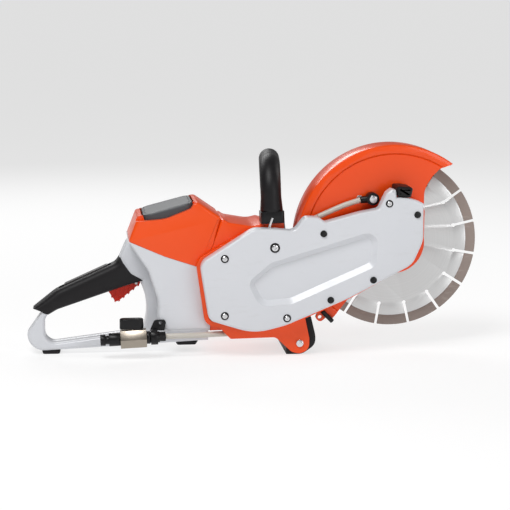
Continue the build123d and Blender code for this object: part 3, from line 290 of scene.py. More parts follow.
def roughness_from(material, shader, mask, share, base):
    """Roughness of a shader: a base, from a socket or a number, plus a share of a mask."""
    tree = material.node_tree
    part = math_node(tree, "MULTIPLY", mask, share, -450, -200)
    tree.links.new(math_node(tree, "ADD", base, part, -250, -150), shader.inputs["Roughness"])


def moulded(
    name, base, shade, roughness, grain_scale=900.0, grain_depth=0.00003, scuff=0.25, scuff_tone=None, **fixed
):
    """Moulded or painted surface: tint clouds, fine grain and faint scuffs."""
    material, shader = start_finish(name, **fixed)
    tree = material.node_tree
    dials = {"Base": (*base, 1), "Shade": (*shade, 1), "Roughness": roughness, "Grain scale": grain_scale}
    body = group_node(material, grain, dials, -700, 0)
    wear = group_node(material, marks, {"Amount": scuff}, -700, -300)
    tone = add_node(tree, "ShaderNodeMix", -300, 100, data_type="RGBA")
    tone.inputs["B"].default_value = (*(scuff_tone or [min(1.0, c * 1.25 + 0.01) for c in base]), 1)
    tree.links.new(wear.outputs["Mask"], tone.inputs["Factor"])
    tree.links.new(body.outputs["Color"], tone.inputs["A"])
    tree.links.new(tone.outputs["Result"], shader.inputs["Base Color"])
    roughness_from(material, shader, wear.outputs["Mask"], SCUFF_ROUGHNESS, body.outputs["Roughness"])
    bump_into(material, shader, body.outputs["Height"], grain_depth)
    return material


def turned(name, base, shade, roughness, ring_scale=1400.0):
    """Turned metal: fine rings about the wheel's axis, with a slight change of tone from ring to ring."""
    material, shader = start_finish(name, Metallic=1.0)
    tree = material.node_tree
    lines = group_node(material, rings, {"Ring scale": ring_scale}, -700, 0)
    tone = add_node(tree, "ShaderNodeMix", -300, 100, data_type="RGBA")
    tone.inputs["A"].default_value = (*base, 1)
    tone.inputs["B"].default_value = (*shade, 1)
    tree.links.new(lines.outputs["Height"], tone.inputs["Factor"])
    tree.links.new(tone.outputs["Result"], shader.inputs["Base Color"])
    roughness_from(material, shader, lines.outputs["Height"], RING_ROUGHNESS, roughness)
    bump_into(material, shader, lines.outputs["Height"], RING_DEPTH)
    return material


# %% [markdown]
# Each row below is one real surface. The castings are powder-coated, so they carry a thin clear gloss. The
# mouldings are nylon with a finer grain, the grips are rubber with a deeper one, and the wheel's rim is a
# rough bond of metal and grit. The first colour is the surface itself, and the second is the tone that its
# slow clouds drift towards.

# %% The finishes themselves
ORANGE, DEEP_ORANGE = (0.88, 0.080, 0.004), (0.80, 0.062, 0.003)
ORANGE_SCUFF = (0.90, 0.12, 0.02)
BOND = dict(grain_scale=900, grain_depth=0.0002, scuff=0.6, scuff_tone=(0.50, 0.44, 0.40), Metallic=0.45)
finish = {
    "orange_casting": moulded(
        "orange_powder_coat", ORANGE, DEEP_ORANGE, 0.26, grain_scale=500, grain_depth=0.00004,
        scuff=0.05, scuff_tone=ORANGE_SCUFF, Specular_IOR_Level=0.3, Coat_Weight=0.25, Coat_Roughness=0.08,
    ),
    "orange_plastic": moulded(
        "orange_nylon", (0.88, 0.085, 0.005), (0.81, 0.068, 0.004), 0.30, grain_scale=1500, scuff=0.05,
        scuff_tone=ORANGE_SCUFF, Specular_IOR_Level=0.3, Coat_Weight=0.2, Coat_Roughness=0.12,
    ),
    "white_plastic": moulded(
        "light_grey_nylon", (0.66, 0.67, 0.70), (0.60, 0.615, 0.65), 0.30, grain_scale=1500, scuff=0.15,
        scuff_tone=(0.5, 0.5, 0.5), Coat_Weight=0.3, Coat_Roughness=0.15,
    ),
    "black_plastic": moulded(
        "black_nylon", (0.003, 0.003, 0.0035), (0.007, 0.007, 0.008), 0.32, grain_scale=1400,
        scuff=0.2, scuff_tone=(0.02, 0.02, 0.022), Specular_IOR_Level=0.3,
    ),
    "black_rubber": moulded(
        "grip_rubber", (0.004, 0.0035, 0.0045), (0.009, 0.008, 0.009), 0.42, grain_scale=1100,
        grain_depth=0.00008, scuff=0.25, scuff_tone=(0.022, 0.020, 0.021), Specular_IOR_Level=0.28,
    ),
    "battery_grey": moulded(
        "battery_lid_grey", (0.052, 0.058, 0.064), (0.072, 0.079, 0.086), 0.40, grain_scale=1600,
        scuff=0.2, scuff_tone=(0.14, 0.16, 0.18), Specular_IOR_Level=0.4,
    ),
    "battery_black": moulded(
        "battery_case_black", (0.009, 0.010, 0.012), (0.016, 0.017, 0.020), 0.42, grain_scale=1600,
        scuff=0.2, scuff_tone=(0.03, 0.03, 0.032), Specular_IOR_Level=0.4,
    ),
    "red_plastic": moulded(
        "trigger_red", (0.66, 0.022, 0.003), (0.52, 0.014, 0.002), 0.28, grain_scale=1500, scuff=0.05,
        Specular_IOR_Level=0.3,
    ),
    "grey_plastic": moulded(
        "lever_grey", (0.022, 0.019, 0.020), (0.034, 0.030, 0.031), 0.42, grain_scale=1200,
        scuff=0.2, scuff_tone=(0.06, 0.055, 0.056),
    ),
    "black_steel": moulded("black_tube", (0.012, 0.012, 0.013), (0.020, 0.020, 0.021), 0.3, Metallic=0.5),
    "aluminium": moulded(
        "cast_aluminium", (0.60, 0.60, 0.61), (0.50, 0.50, 0.51), 0.38, grain_scale=600, grain_depth=0.00008,
        Metallic=1.0,
    ),
    "steel": turned("turned_steel", (0.56, 0.56, 0.57), (0.40, 0.40, 0.41), 0.22),
    "zinc_screws": turned("zinc_plated", (0.78, 0.78, 0.79), (0.60, 0.60, 0.62), 0.18, ring_scale=3000),
    "copper_steel": moulded(
        "stator_steel", (0.30, 0.26, 0.22), (0.45, 0.20, 0.10), 0.4, grain_scale=400, Metallic=0.9
    ),
    "belt_rubber": moulded(
        "belt_rubber", (0.015, 0.015, 0.015), (0.024, 0.024, 0.024), 0.6, grain_scale=1500
    ),
    "hose_white": moulded(
        "hose_pvc", (0.56, 0.53, 0.48), (0.48, 0.45, 0.40), 0.32, grain_scale=700, scuff=0.15,
        Subsurface_Weight=0.2, Subsurface_Radius=(0.002, 0.002, 0.0015),
    ),
    "nickel": moulded(
        "nickel_plate", (0.40, 0.355, 0.30), (0.30, 0.265, 0.22), 0.24, grain_scale=900, Metallic=1.0
    ),
    "wheel_steel": turned("wheel_blank", (0.62, 0.62, 0.62), (0.55, 0.55, 0.55), 0.34, ring_scale=900),
    "diamond_bond": moulded("diamond_bond", (0.34, 0.28, 0.25), (0.24, 0.195, 0.175), 0.55, **BOND),
}
floor_finish, floor_shader = start_finish("white_sweep", Roughness=0.9)
floor_shader.inputs["Base Color"].default_value = (0.30, 0.30, 0.30, 1)
floor_shader.inputs["Emission Color"].default_value = WHITE
floor_shader.inputs["Emission Strength"].default_value = 0.68
floor_mesh.materials.append(floor_finish)
print("finishes:", len(finish))

# %% [markdown]
# ## Parts that keep their CAD shape
# A turned washer or a bearing is already right in CAD. It only needs its finish, smooth shading across
# curved faces, crisp shading across edges, and a small rounding on the edges themselves to catch the light.


# %% Finishing the CAD parts
SHARP = radians(28)
FLAT_WITHIN, EDGE_FROM = radians(0.4), radians(32)
SAME_PLACE = 0.000002          # metres between points that are one point
SOFTEN = {"black_rubber": 0.0008, "orange_casting": 0.0006, "zinc_screws": 0.0003, "wheel_steel": 0.0001}
SOFTEN_REST = 0.0005


def smooth(mesh):
    """Smooth shading with crisp edges where faces meet at an angle."""
    for face in mesh.polygons:
        face.use_smooth = True
    mesh.set_sharp_from_angle(angle=SHARP)


def ease_edges(piece, width, segments=2):
    """Joins flat triangles into whole faces, then rounds the edges between them."""
    weld = piece.modifiers.new("weld", "WELD")
    weld.merge_threshold = SAME_PLACE
    join = piece.modifiers.new("whole_faces", "DECIMATE")
    join.decimate_type = "DISSOLVE"
    join.angle_limit = FLAT_WITHIN
    bevel = piece.modifiers.new("eased_edges", "BEVEL")
    bevel.width, bevel.segments = width, segments
    bevel.limit_method, bevel.angle_limit = "ANGLE", EDGE_FROM
    bevel.harden_normals = True


slot_of = {row["node"]: row["material_slot"] for row in frame["record"]["subparts"]}
for name, node in frame["nodes"].items():
    smooth(node.data)
    node.data.materials.clear()
    node.data.materials.append(finish[slot_of[name]])
    ease_edges(node, SOFTEN.get(slot_of[name], SOFTEN_REST))
print("finished CAD parts:", len(slot_of))

# %% [markdown]
# ## Parts rebuilt as meshes
# The shells, the grips and the hoses look soft: broad roundings, crowned tops and drawn-in edges. CAD holds
# their true outline, and the mesh pieces below start from the same outline. An outline is a list of corners
# with a radius each, as a draughtsperson would give it. The last value of a row says how much of the edge
# rounding that corner takes: 1 for an outer edge, near 0 where the piece meets its neighbour.

# %% Outlines
MM = 0.001
ARC_STEP = radians(7)
LONGEST_REACH = 0.49           # how much of a side a corner's rounding may take up


def outline(rows):
    """Rounded outline from (x, z, radius, share) rows in millimetres: points in metres with their share."""
    points = []
    count = len(rows)
    for i, (x, z, r, share) in enumerate(rows):
        here = Vector((x, z))
        before = Vector(rows[i - 1][:2]) - here
        after = Vector(rows[(i + 1) % count][:2]) - here
        turn = pi - before.angle(after)
        if r == 0 or turn < radians(1):
            points.append((here * MM, share))
            continue
        reach = min(r * tan(turn / 2), LONGEST_REACH * before.length, LONGEST_REACH * after.length)
        start, end = here + before.normalized() * reach, here + after.normalized() * reach
        radius = reach / tan(turn / 2)
        middle = here + (before.normalized() + after.normalized()).normalized() * radius / cos(turn / 2)
        a, b = start - middle, end - middle
        steps = max(2, round(turn / ARC_STEP))
        for k in range(steps + 1):
            t = k / steps
            ray = (a * sin((1 - t) * turn) + b * sin(t * turn)) / sin(turn)
            points.append(((middle + ray) * MM, share))
    return points


def drawn_in(points, amount):
    """The outline moved inwards, each point by its own share of the amount."""
    area = sum(points[i - 1][0].cross(points[i][0]) for i in range(len(points)))
    side = 1 if area > 0 else -1
    moved = []
    for i, (p, share) in enumerate(points):
        d1 = (p - points[i - 1][0]).normalized()
        d2 = (points[(i + 1) % len(points)][0] - p).normalized()
        n1, n2 = Vector((-d1.y, d1.x)) * side, Vector((-d2.y, d2.x)) * side
        normal = (n1 + n2).normalized()
        moved.append((p + normal * amount * share / max(0.5, normal.dot(n1)), share))
    return moved


print("arc step", round(ARC_STEP, 3))

# %% [markdown]
# A moulded shell is the outline swept across the saw and rounded where it meets its two sides. The rings
# below follow a quarter circle at each side, so the edge is a true rounding with its own geometry.

# %% Rounded slab
ROUND_STEPS = 5


def link(name, bm, slot, body, *replaced):
    """Turns a finished bmesh into a piece with its slot, its body and the CAD nodes that it stands for."""
    mesh = bpy.data.meshes.new(name)
    bmesh.ops.recalc_face_normals(bm, faces=bm.faces)
    bm.to_mesh(mesh)
    bm.free()
    smooth(mesh)
    piece = bpy.data.objects.new(name, mesh)
    bpy.context.collection.objects.link(piece)
    dress(piece, slot, body, *replaced)
    return piece


def dress(piece, slot, body, *replaced):
    """Finish, material slot, body and replaced nodes of a piece."""
    piece.data.materials.clear()
    piece.data.materials.append(finish[slot])
    if body:
        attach(piece, body)
    if replaced:
        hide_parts(*replaced)


def ring(bm, points, y):
    """One closed ring of vertices in a plane across the saw."""
    return [bm.verts.new((p.x, y, p.y)) for p, _ in points]


def skin(bm, low, high):
    """Quads between two rings."""
    for i in range(len(low)):
        bm.faces.new((low[i - 1], low[i], high[i], high[i - 1]))


def closed_skin(bm, rings):
    """Quads between rings that follow each other, and a face over each end."""
    for low, high in zip(rings, rings[1:]):
        skin(bm, low, high)
    bm.faces.new(rings[0])
    bm.faces.new(rings[-1])


def rounded_slab(bm, points, near, far, near_round, far_round):
    """Closed solid between two sides, in metres, with its own rounding at each side."""
    rings = []
    quarter = [pi / 2 * k / ROUND_STEPS for k in range(ROUND_STEPS + 1)]
    for a in quarter if near_round else quarter[-1:]:
        rings.append(ring(bm, drawn_in(points, near_round * (1 - sin(a))), near + near_round * (1 - cos(a))))
    for a in reversed(quarter) if far_round else quarter[-1:]:
        rings.append(ring(bm, drawn_in(points, far_round * (1 - sin(a))), far - far_round * (1 - cos(a))))
    closed_skin(bm, rings)


def cut(piece, tools, operation="DIFFERENCE"):
    """Cuts tool meshes out of a piece, or joins them to it, and keeps the result as its mesh."""
    for bm in tools:
        mesh = bpy.data.meshes.new("tool")
        bmesh.ops.recalc_face_normals(bm, faces=bm.faces)
        bm.to_mesh(mesh)
        bm.free()
        tool = bpy.data.objects.new("tool", mesh)
        bpy.context.collection.objects.link(tool)
        step = piece.modifiers.new("cut", "BOOLEAN")
        step.operation, step.solver, step.object = operation, "MANIFOLD", tool
        bpy.context.view_layer.update()
        result = bpy.data.meshes.new_from_object(piece.evaluated_get(bpy.context.evaluated_depsgraph_get()))
        piece.modifiers.clear()
        piece.data = result
        bpy.data.objects.remove(tool)
    smooth(piece.data)


def block(rows, near, far):
    """Plain tool solid from an outline in millimetres, between two sides in millimetres."""
    bm = bmesh.new()
    points = outline([(x, z, r, 0) for x, z, r in rows])
    rounded_slab(bm, points, near * MM, far * MM, 0, 0)
    return bm


def circle(x, z, r, sides):
    """Outline rows round a circle, in millimetres."""
    return [(x + r * cos(2 * pi * k / sides), z + r * sin(2 * pi * k / sides), 0) for k in range(sides)]


print("round steps", ROUND_STEPS)

# %% [markdown]
# ## Battery housing
# The orange shell that carries the battery is one moulding with a slanting mouth on top. The mouth's near
# rim dips, so that a thumb can reach the battery. The far top edge is rounded much more than the near one,
# which gives the shell its crowned look from the operator's side. The battery's slot and a bore for the
# release button are cut last.

# %% Battery housing
NEAR_SIDE, FAR_SIDE = -61 * MM, 44 * MM
BATTERY_TOP = Vector((-114.6, -7.0, 194.7)) * MM
BATTERY_TILT = radians(14.5)
ON_BATTERY = Matrix.Translation(BATTERY_TOP) @ Matrix.Rotation(-BATTERY_TILT, 4, "Y")
MOUTH, WELL = (70.6, 90.6, 13.0), (75.4, 94.8, 15.5)      # width, depth and corner radius in millimetres
LEDGE = (-31, -28)             # the mouth ends and the wider well begins at these levels
BUTTON_BORE = (-121, 150, 8.4)
battery_rows = [
    (-167, 152, 5, 0.7), (-154.5, 184, 4, 1), (-76, 204, 8, 1), (-45, 182.5, 4, 1),
    (-56, 148, 4, 0.08), (-61, 137.5, 3, 0.08), (-61, 112.5, 0, 0.08), (-75.5, 118, 6, 0.08),
    (-120, 133, 20, 0.08),
]


def battery_outline(width, depth, corner):
    """Rounded rectangle about the battery's axis."""
    w, d = width / 2, depth / 2
    return outline([(-w, -d, corner, 1), (w, -d, corner, 1), (w, d, corner, 1), (-w, d, corner, 1)])


def along_battery(width, depth, corner, low, high):
    """Rounded prism along the battery's slanting axis, in millimetres from its top face."""
    bm = bmesh.new()
    flat = battery_outline(width, depth, corner)
    levels = [[bm.verts.new(ON_BATTERY @ Vector((*p, level * MM))) for p, _ in flat] for level in (low, high)]
    closed_skin(bm, levels)
    return bm


bm = bmesh.new()
rounded_slab(bm, outline(battery_rows), NEAR_SIDE, FAR_SIDE, 4.5 * MM, 15 * MM)
battery_housing = link("battery_housing_shell", bm, "orange_plastic", "machine", "battery_housing")
dip = [(-170, 178, 0), (-147.5, 179.5, 0), (-118, 182, 40), (-85, 195, 0), (-70, 215, 0), (-180, 215, 0)]
cut(battery_housing, [
    along_battery(*MOUTH, LEDGE[0], 60), along_battery(*WELL, -150, LEDGE[1]),
    block(dip, -63, -46), block(circle(*BUTTON_BORE, 32), 34, 60),
])
dress(battery_housing, "orange_plastic", "machine")
ease_edges(battery_housing, 1.3 * MM, 3)
print("battery housing faces:", len(battery_housing.data.polygons))

# %% [markdown]
# ## Motor housing
# The casting in front of the battery holds the motor. Its top dips behind the front handle, where a flat
# saddle takes the handle's mount. The cheek that carries the skid's pin on the far side belongs to the same
# casting.

# %% Motor housing
motor_rows = [
    (-45, 182.5, 4, 1), (-36, 176.5, 12, 1), (-4, 171, 30, 1), (8, 174, 8, 1), (30, 168, 10, 1),
    (39, 158, 12, 1),
    (39, 40, 10, 1), (26, 34, 4, 1), (-61, 33.5, 0, 0.3), (-61, 137.5, 3, 0.08), (-56, 148, 4, 0.08),
]
cheek_rows = [
    (-34.5, 24.5, 3, 1), (25, 24.5, 10, 1), (46.5, 4.2, 11, 1), (57, 1.5, 12.5, 1), (69.5, 7, 12.5, 1),
    (69.5, 22, 10, 1), (60, 46, 4, 1), (-34, 46, 4, 1),
]
saddle_rows = [(5, 168, 0, 1), (5, 175.4, 3, 1), (37, 175.4, 3, 1), (37, 158, 0, 1)]
CHEEK_NEAR, CHEEK_FAR, SADDLE_FAR = 40 * MM, 45 * MM, -47 * MM
bm = bmesh.new()
rounded_slab(bm, outline(motor_rows), NEAR_SIDE, FAR_SIDE, 3 * MM, 13 * MM)
rounded_slab(bm, outline(cheek_rows), CHEEK_NEAR, CHEEK_FAR, 1 * MM, 1.5 * MM)
rounded_slab(bm, outline(saddle_rows), NEAR_SIDE, SADDLE_FAR, 1 * MM, 1 * MM)
motor_housing = link("motor_housing", bm, "orange_casting", "machine", "front_housing")
print("motor housing faces:", len(motor_housing.data.polygons))

# %% [markdown]
# ## Battery lid
# The lid of the pack is all that shows of the battery. It is slightly domed, and a fine groove runs round
# it just inside the edge. The lid slides out with the battery, so it rides on the battery's body.

# %% Battery lid
LID_W, LID_D, LID_CORNER, LID_H = 68.0, 88.0, 12.0, 18.0
lid_profile = [  # how far in from the side, and how high, in millimetres from the lid's top
    (0.0, -LID_H), (0.0, -3.4), (0.35, -1.9), (1.2, -0.7), (2.5, -0.25), (3.4, -0.2), (3.7, -1.0),
    (4.3, -1.0),
    (4.6, -0.15), (9.0, -0.05), (20.0, 0.0),
]
bm = bmesh.new()
levels = []
for inward, height in lid_profile:
    shrink_x, shrink_y = 1 - inward / (LID_W / 2), 1 - inward / (LID_D / 2)
    levels.append([
        bm.verts.new(ON_BATTERY @ Vector((p.x * shrink_x, p.y * shrink_y, height * MM)))
        for p, _ in battery_outline(LID_W, LID_D, LID_CORNER)
    ])
closed_skin(bm, levels)
battery_lid = link("battery_lid", bm, "battery_grey", "battery", "battery_cap")
print("battery lid faces:", len(battery_lid.data.polygons))

# %% [markdown]
# ## Rear grip
# A soft sleeve covers the upper bar of the rear handle. It swells in the middle of its width, like a file
# handle, so its section is a rounded one and not a box. A slit along its top lets the grey lockout lever
# through, and one below lets the trigger through.

# %% Rear grip
HANDLE_MID = -16.0             # Y of the handle's middle plane, in millimetres
HANDLE_Y = HANDLE_MID * MM
GRIP_HALF, GRIP_ROUND = 18 * MM, 9 * MM
grip_rows = [
    (-177, 129, 0, 0.1), (-183, 120.5, 14, 1), (-262, 85, 50, 1), (-292, 61, 0, 0.35), (-272, 53, 0, 0.2),
    (-260, 59.5, 20, 0.6), (-185, 84.5, 100, 0.6), (-147, 97, 0, 0.1), (-163, 106.5, 14, 0.1),
    (-173, 121, 14, 0.1),
]
bm = bmesh.new()
rounded_slab(bm, outline(grip_rows), HANDLE_Y - GRIP_HALF, HANDLE_Y + GRIP_HALF, GRIP_ROUND, GRIP_ROUND)
rear_grip = link("rear_grip", bm, "black_rubber", "machine", "grip_sleeve")
core = [
    (-150, 138, 0), (-178, 117, 14), (-260.5, 80, 46), (-285, 60, 0), (-275, 55.5, 0), (-263, 63, 20),
    (-140, 103, 0),
]
lever_slit = [(-256, 75.5, 0), (-190, 106, 0), (-188, 134, 0), (-262, 114, 0)]
finger_slit = [(-203, 55, 0), (-147, 55, 0), (-147, 104, 0), (-155, 112, 0), (-203, 96, 0)]
openings = [(core, 14.5), (lever_slit, 7.5), (finger_slit, 9)]      # outline and half width in millimetres
cut(rear_grip, [block(rows, HANDLE_MID - half, HANDLE_MID + half) for rows, half in openings])
dress(rear_grip, "black_rubber", "machine")
print("rear grip faces:", len(rear_grip.data.polygons))

# %% [markdown]
# ## Trigger
# The trigger is a hollow red moulding with ribs across it, which the finger feels through a glove. It is
# made as a core a little narrower than the ribs, and each rib is a thin plate cut to the trigger's outline.

# %% Trigger
trigger_rows = [
    (-196, 84.5, 3), (-183.5, 65.5, 4), (-177, 69, 5), (-149.5, 91, 3), (-149.5, 99, 4),
    (-163, 101, 4), (-196, 90, 2),
]
RIB_COUNT, RIB_PITCH, RIB_THICK, RIB_LEAN = 7, 5.4, 1.7, 9
RIB_FIRST, RIB_FOOT, RIB_TOP = -192, 60, 104
CORE_HALF, RIB_HALF, CORE_ROUND = 6.4 * MM, 7.6 * MM, 0.8 * MM
bm = bmesh.new()
core_points = drawn_in(outline([(x, z, r, 1) for x, z, r in trigger_rows]), 1.1 * MM)
rounded_slab(bm, core_points, HANDLE_Y - CORE_HALF, HANDLE_Y + CORE_HALF, CORE_ROUND, CORE_ROUND)
link("finger_trigger", bm, "red_plastic", "trigger", "trigger")
bm = bmesh.new()
for i in range(RIB_COUNT):
    x = RIB_FIRST + RIB_PITCH * i
    rib = outline([
        (x, RIB_FOOT, 0, 0), (x + RIB_THICK, RIB_FOOT, 0, 0), (x + RIB_THICK + RIB_LEAN, RIB_TOP, 0, 0),
        (x + RIB_LEAN, RIB_TOP, 0, 0),
    ])
    rounded_slab(bm, rib, HANDLE_Y - RIB_HALF, HANDLE_Y + RIB_HALF, 0, 0)
ribs = link("trigger_ribs", bm, "red_plastic", "trigger")
cut(ribs, [block(trigger_rows, HANDLE_MID - 14, HANDLE_MID + 14)], "INTERSECT")
dress(ribs, "red_plastic", None)
print("trigger ribs:", RIB_COUNT)

# %% [markdown]
# ## Front handle
# The front handle is a bent tube in a thick rubber sleeve. The sleeve is a swept section: a circle carried
# along the handle's line, swelling gently where the hand holds it and flaring at both ends.

# %% Front handle sleeve
BEND_PARTS = 12                # pieces of line in each bend


def bent_line(rows, step):
    """Centre line through (x, y, z, radius) corners in millimetres, as points in metres, nearly even."""
    line = []
    for i, (*corner, r) in enumerate(rows):
        here = Vector(corner)
        if r == 0:
            line.append(here)
            continue
        before, after = Vector(rows[i - 1][:3]) - here, Vector(rows[i + 1][:3]) - here
        turn = pi - before.angle(after)
        reach = r * tan(turn / 2)
        middle = here + (before.normalized() + after.normalized()).normalized() * r / cos(turn / 2)
        a, b = here + before.normalized() * reach - middle, here + after.normalized() * reach - middle
        for k in range(BEND_PARTS + 1):
            t = k / BEND_PARTS
            line.append(middle + (a * sin((1 - t) * turn) + b * sin(t * turn)) / sin(turn))
    even = [line[0]]
    for a, b in zip(line, line[1:]):
        parts = max(1, round((b - a).length / step))
        even += [a.lerp(b, (k + 1) / parts) for k in range(parts)]
    return [p * MM for p in even]


def swept(bm, line, radius_at, sides=28):
    """Closed tube along a line, with a radius that depends on how far along it is, from 0 to 1."""
    rings, side = [], None
    for i, p in enumerate(line):
        ahead = (line[min(i + 1, len(line) - 1)] - line[max(i - 1, 0)]).normalized()
        side = side or ahead.orthogonal()
        side = (side - ahead * side.dot(ahead)).normalized()
        up = ahead.cross(side)
        r = radius_at(i / (len(line) - 1))
        turns = [2 * pi * k / sides for k in range(sides)]
        rings.append([bm.verts.new(p + (side * cos(t) + up * sin(t)) * r) for t in turns])
    closed_skin(bm, rings)


handle_rows = [
    (21, -60, 176.3, 0), (18, -60, 249, 38), (32, 76, 249, 30), (34, 76, 205, 60), (47, 76, 112, 0),
]
LINE_STEP = 3.0                # millimetres between the sleeve's rings
ENDS_BARE = 5                  # rings at each end that the sleeve leaves to its mounts
sleeve_line = bent_line(handle_rows, LINE_STEP)[ENDS_BARE:-ENDS_BARE]
SLEEVE_R, SWELL = 13.4, 0.6
FLARE, FLARE_SHARE = 1.6, 0.06
LIP, LIP_SHARE = 1.0, 0.004


def sleeve_radius(t):
    """Sleeve radius along the handle: a flare at each end and a gentle swell where the hand is."""
    flare = FLARE * max(0.0, 1 - t / FLARE_SHARE) + FLARE * max(0.0, 1 - (1 - t) / FLARE_SHARE)
    lip = LIP if t < LIP_SHARE or t > 1 - LIP_SHARE else 0.0
    return (SLEEVE_R + flare + SWELL * sin(pi * t) - lip) * MM


bm = bmesh.new()
swept(bm, sleeve_line, sleeve_radius)
link("front_handle_sleeve", bm, "black_rubber", "machine", "handle_sleeve")
print("sleeve rings:", len(sleeve_line))

# %% [markdown]
# ## Water hose
# Water reaches the wheel through a thin white hose. The lower length is clipped along the base and keeps
# its CAD shape. The upper length crosses from the arm to the guard, held at both ends. It is a smooth curve
# with a round section. It has to bend when the guard swings, but here it is one fixed mesh on no body.

# %% Water hose
HOSE_R = 3.7 * MM
upper_route = [(82.4, -58, 182.4), (101, -58, 190.6), (118, -58, 197.8), (137.5, -58, 203.6)]


def hose(name, route):
    """Round hose on a smooth curve, turned into a mesh."""
    curve = bpy.data.curves.new(name, "CURVE")
    curve.dimensions = "3D"
    curve.bevel_depth, curve.bevel_resolution, curve.resolution_u = HOSE_R, 6, 12
    curve.use_fill_caps = True
    spline = curve.splines.new("NURBS")
    spline.points.add(len(route) - 1)
    for point, place in zip(spline.points, route):
        point.co = (*(Vector(place) * MM), 1.0)
    spline.order_u = 3
    spline.use_endpoint_u = True
    holder = bpy.data.objects.new(name + "_curve", curve)
    bpy.context.collection.objects.link(holder)
    mesh = bpy.data.meshes.new_from_object(holder.evaluated_get(bpy.context.evaluated_depsgraph_get()))
    bpy.data.objects.remove(holder)
    smooth(mesh)
    piece = bpy.data.objects.new(name, mesh)
    bpy.context.collection.objects.link(piece)
    return piece


upper_hose = hose("upper_water_hose", upper_route)
dress(upper_hose, "hose_white", None, "water_hose_upper")
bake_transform(upper_hose)
print("hose faces:", len(upper_hose.data.polygons))

# %% [markdown]
# ## Belt cover
# The white cover is one thin moulding. Its outer edge is rounded, a long sloping recess stiffens its face,
# and its back is open towards the arm. It is swept from its outline, and the recess is a tapered tool cut
# out of it.

# %% Belt cover
WHEEL_X, WHEEL_Z = 185.0, 145.0
COVER_FACE, COVER_RIM, COVER_FLOOR = -88 * MM, -70 * MM, -82 * MM
COVER_WALL, ROOM_FACE, ROOM_RIM = 2.6 * MM, -79 * MM, -69 * MM
SLOPE = 1.2                    # how far the recess's wall runs in for each unit of depth
CAP_R = 64.5
cover_rows = [
    (180, 219.5, 1.5), (174.5, 221, 2), (168, 216, 5), (158, 195, 6), (133, 190.5, 30),
    (88, 178.5, 6), (79, 185, 4), (61, 186, 9), (47, 168, 12), (24, 170.5, 20), (-6, 171.5, 20),
    (-75.5, 127, 16),
    (-64, 52, 12), (-5, 33, 80), (37, 43.5, 60), (120, 78, 300), (203, 121, 26), (217, 152, 40),
]
recess_rows = [
    (-5, 99.7, 5), (20, 120.4, 8), (150.3, 159.3, 8), (148.1, 124.8, 8), (42.4, 78.9, 24), (6, 77, 10),
]


def cap_angle(x):
    """Angle above +X at which the round end passes an X place."""
    return atan2((CAP_R**2 - (x - WHEEL_X) ** 2) ** 0.5, x - WHEEL_X)


def cap_arc(x_from, x_to, steps=8):
    """Round end of the cover, about the wheel's axis, between two X places."""
    a, b = cap_angle(x_from), cap_angle(x_to)
    angles = [a + (b - a) * k / steps for k in range(steps + 1)]
    return [(WHEEL_X + CAP_R * cos(t), WHEEL_Z + CAP_R * sin(t), 0, 1) for t in angles]


rows = [(x, z, r, 1) for x, z, r in cover_rows] + cap_arc(216.8, 181.2)
bm = bmesh.new()
rounded_slab(bm, outline(rows), COVER_FACE, COVER_RIM, 3.6 * MM, 0)
belt_cover = link("belt_cover_shell", bm, "white_plastic", "machine", "belt_cover")
recess = outline([(x, z, r, 1) for x, z, r in recess_rows])
tool, room = bmesh.new(), bmesh.new()
closed_skin(tool, [
    ring(tool, drawn_in(recess, -SLOPE * (COVER_FLOOR - y)), y) for y in (COVER_FACE - 1 * MM, COVER_FLOOR)
])
rounded_slab(room, drawn_in(outline(rows), COVER_WALL), ROOM_FACE, ROOM_RIM, 0, 0)
cut(belt_cover, [tool, room])
dress(belt_cover, "white_plastic", "machine")
ease_edges(belt_cover, 1.0 * MM, 3)
print("belt cover faces:", len(belt_cover.data.polygons))

# %% [markdown]
# ## Cover screws
# Five zinc screws hold the cover, each a bright domed head with a six-sided socket. The counterbore round
# each head is not cut. A ring of black plastic stands in its place as painted shade, the counterbore's own
# shade. The heads are turned from a profile, and the socket is cut with a six-sided tool.

# %% Cover screws
screw_places = {(-43.4, 133): 4.3, (-43.6, 58): 4.3, (37.8, 53.4): 4.3, (171.2, 202): 4.0, (21.8, 146.4): 5.3}
plug_places = [(85.3, 163.8), (95.1, 76.3), (151.3, 101.8), (208.5, 187)]
# The heads and the painted shade rings are given as shares of the screw's own radius with a Y, the plugs
# as radius and Y.
head_profile = [(0.45, -89.9), (0.62, -89.8), (0.78, -89.3), (0.80, -88.2), (0.8, -80)]
# Black ring round each head: painted shade where the counterbore would be shaded.
painted_shade_ring_profile = [
    (0.84, -88.4), (0.9, -88.7), (1.05, -88.8), (1.2, -88.5), (1.24, -88.0), (1.24, -86), (0.84, -86),
]
plug_profile = [(3.0, -89.9), (3.9, -89.6), (4.4, -88.9), (4.5, -88.0), (4.5, -84.5)]
SOCKET_SHARE, SOCKET_TOP, SOCKET_FLOOR = 0.36, -91, -88.6


def turned_head(bm, x, z, profile, scale=1, sides=32):
    """Solid of revolution about a Y axis from (radius, y) rows, with the radii in units of a scale."""
    closed_skin(bm, [
        [bm.verts.new(Vector((px, y, pz)) * MM) for px, pz, _ in circle(x, z, scale * r, sides)]
        for r, y in profile
    ])


heads, painted_shade_rings, plugs = bmesh.new(), bmesh.new(), bmesh.new()
for (x, z), r in screw_places.items():
    turned_head(heads, x, z, head_profile, r)
    turned_head(painted_shade_rings, x, z, painted_shade_ring_profile, r)
screws = link("cover_screw_heads", heads, "zinc_screws", "machine", "cover_screws")
cut(screws, [
    block(circle(x, z, r * SOCKET_SHARE, 6), SOCKET_TOP, SOCKET_FLOOR) for (x, z), r in screw_places.items()
])
dress(screws, "zinc_screws", "machine")
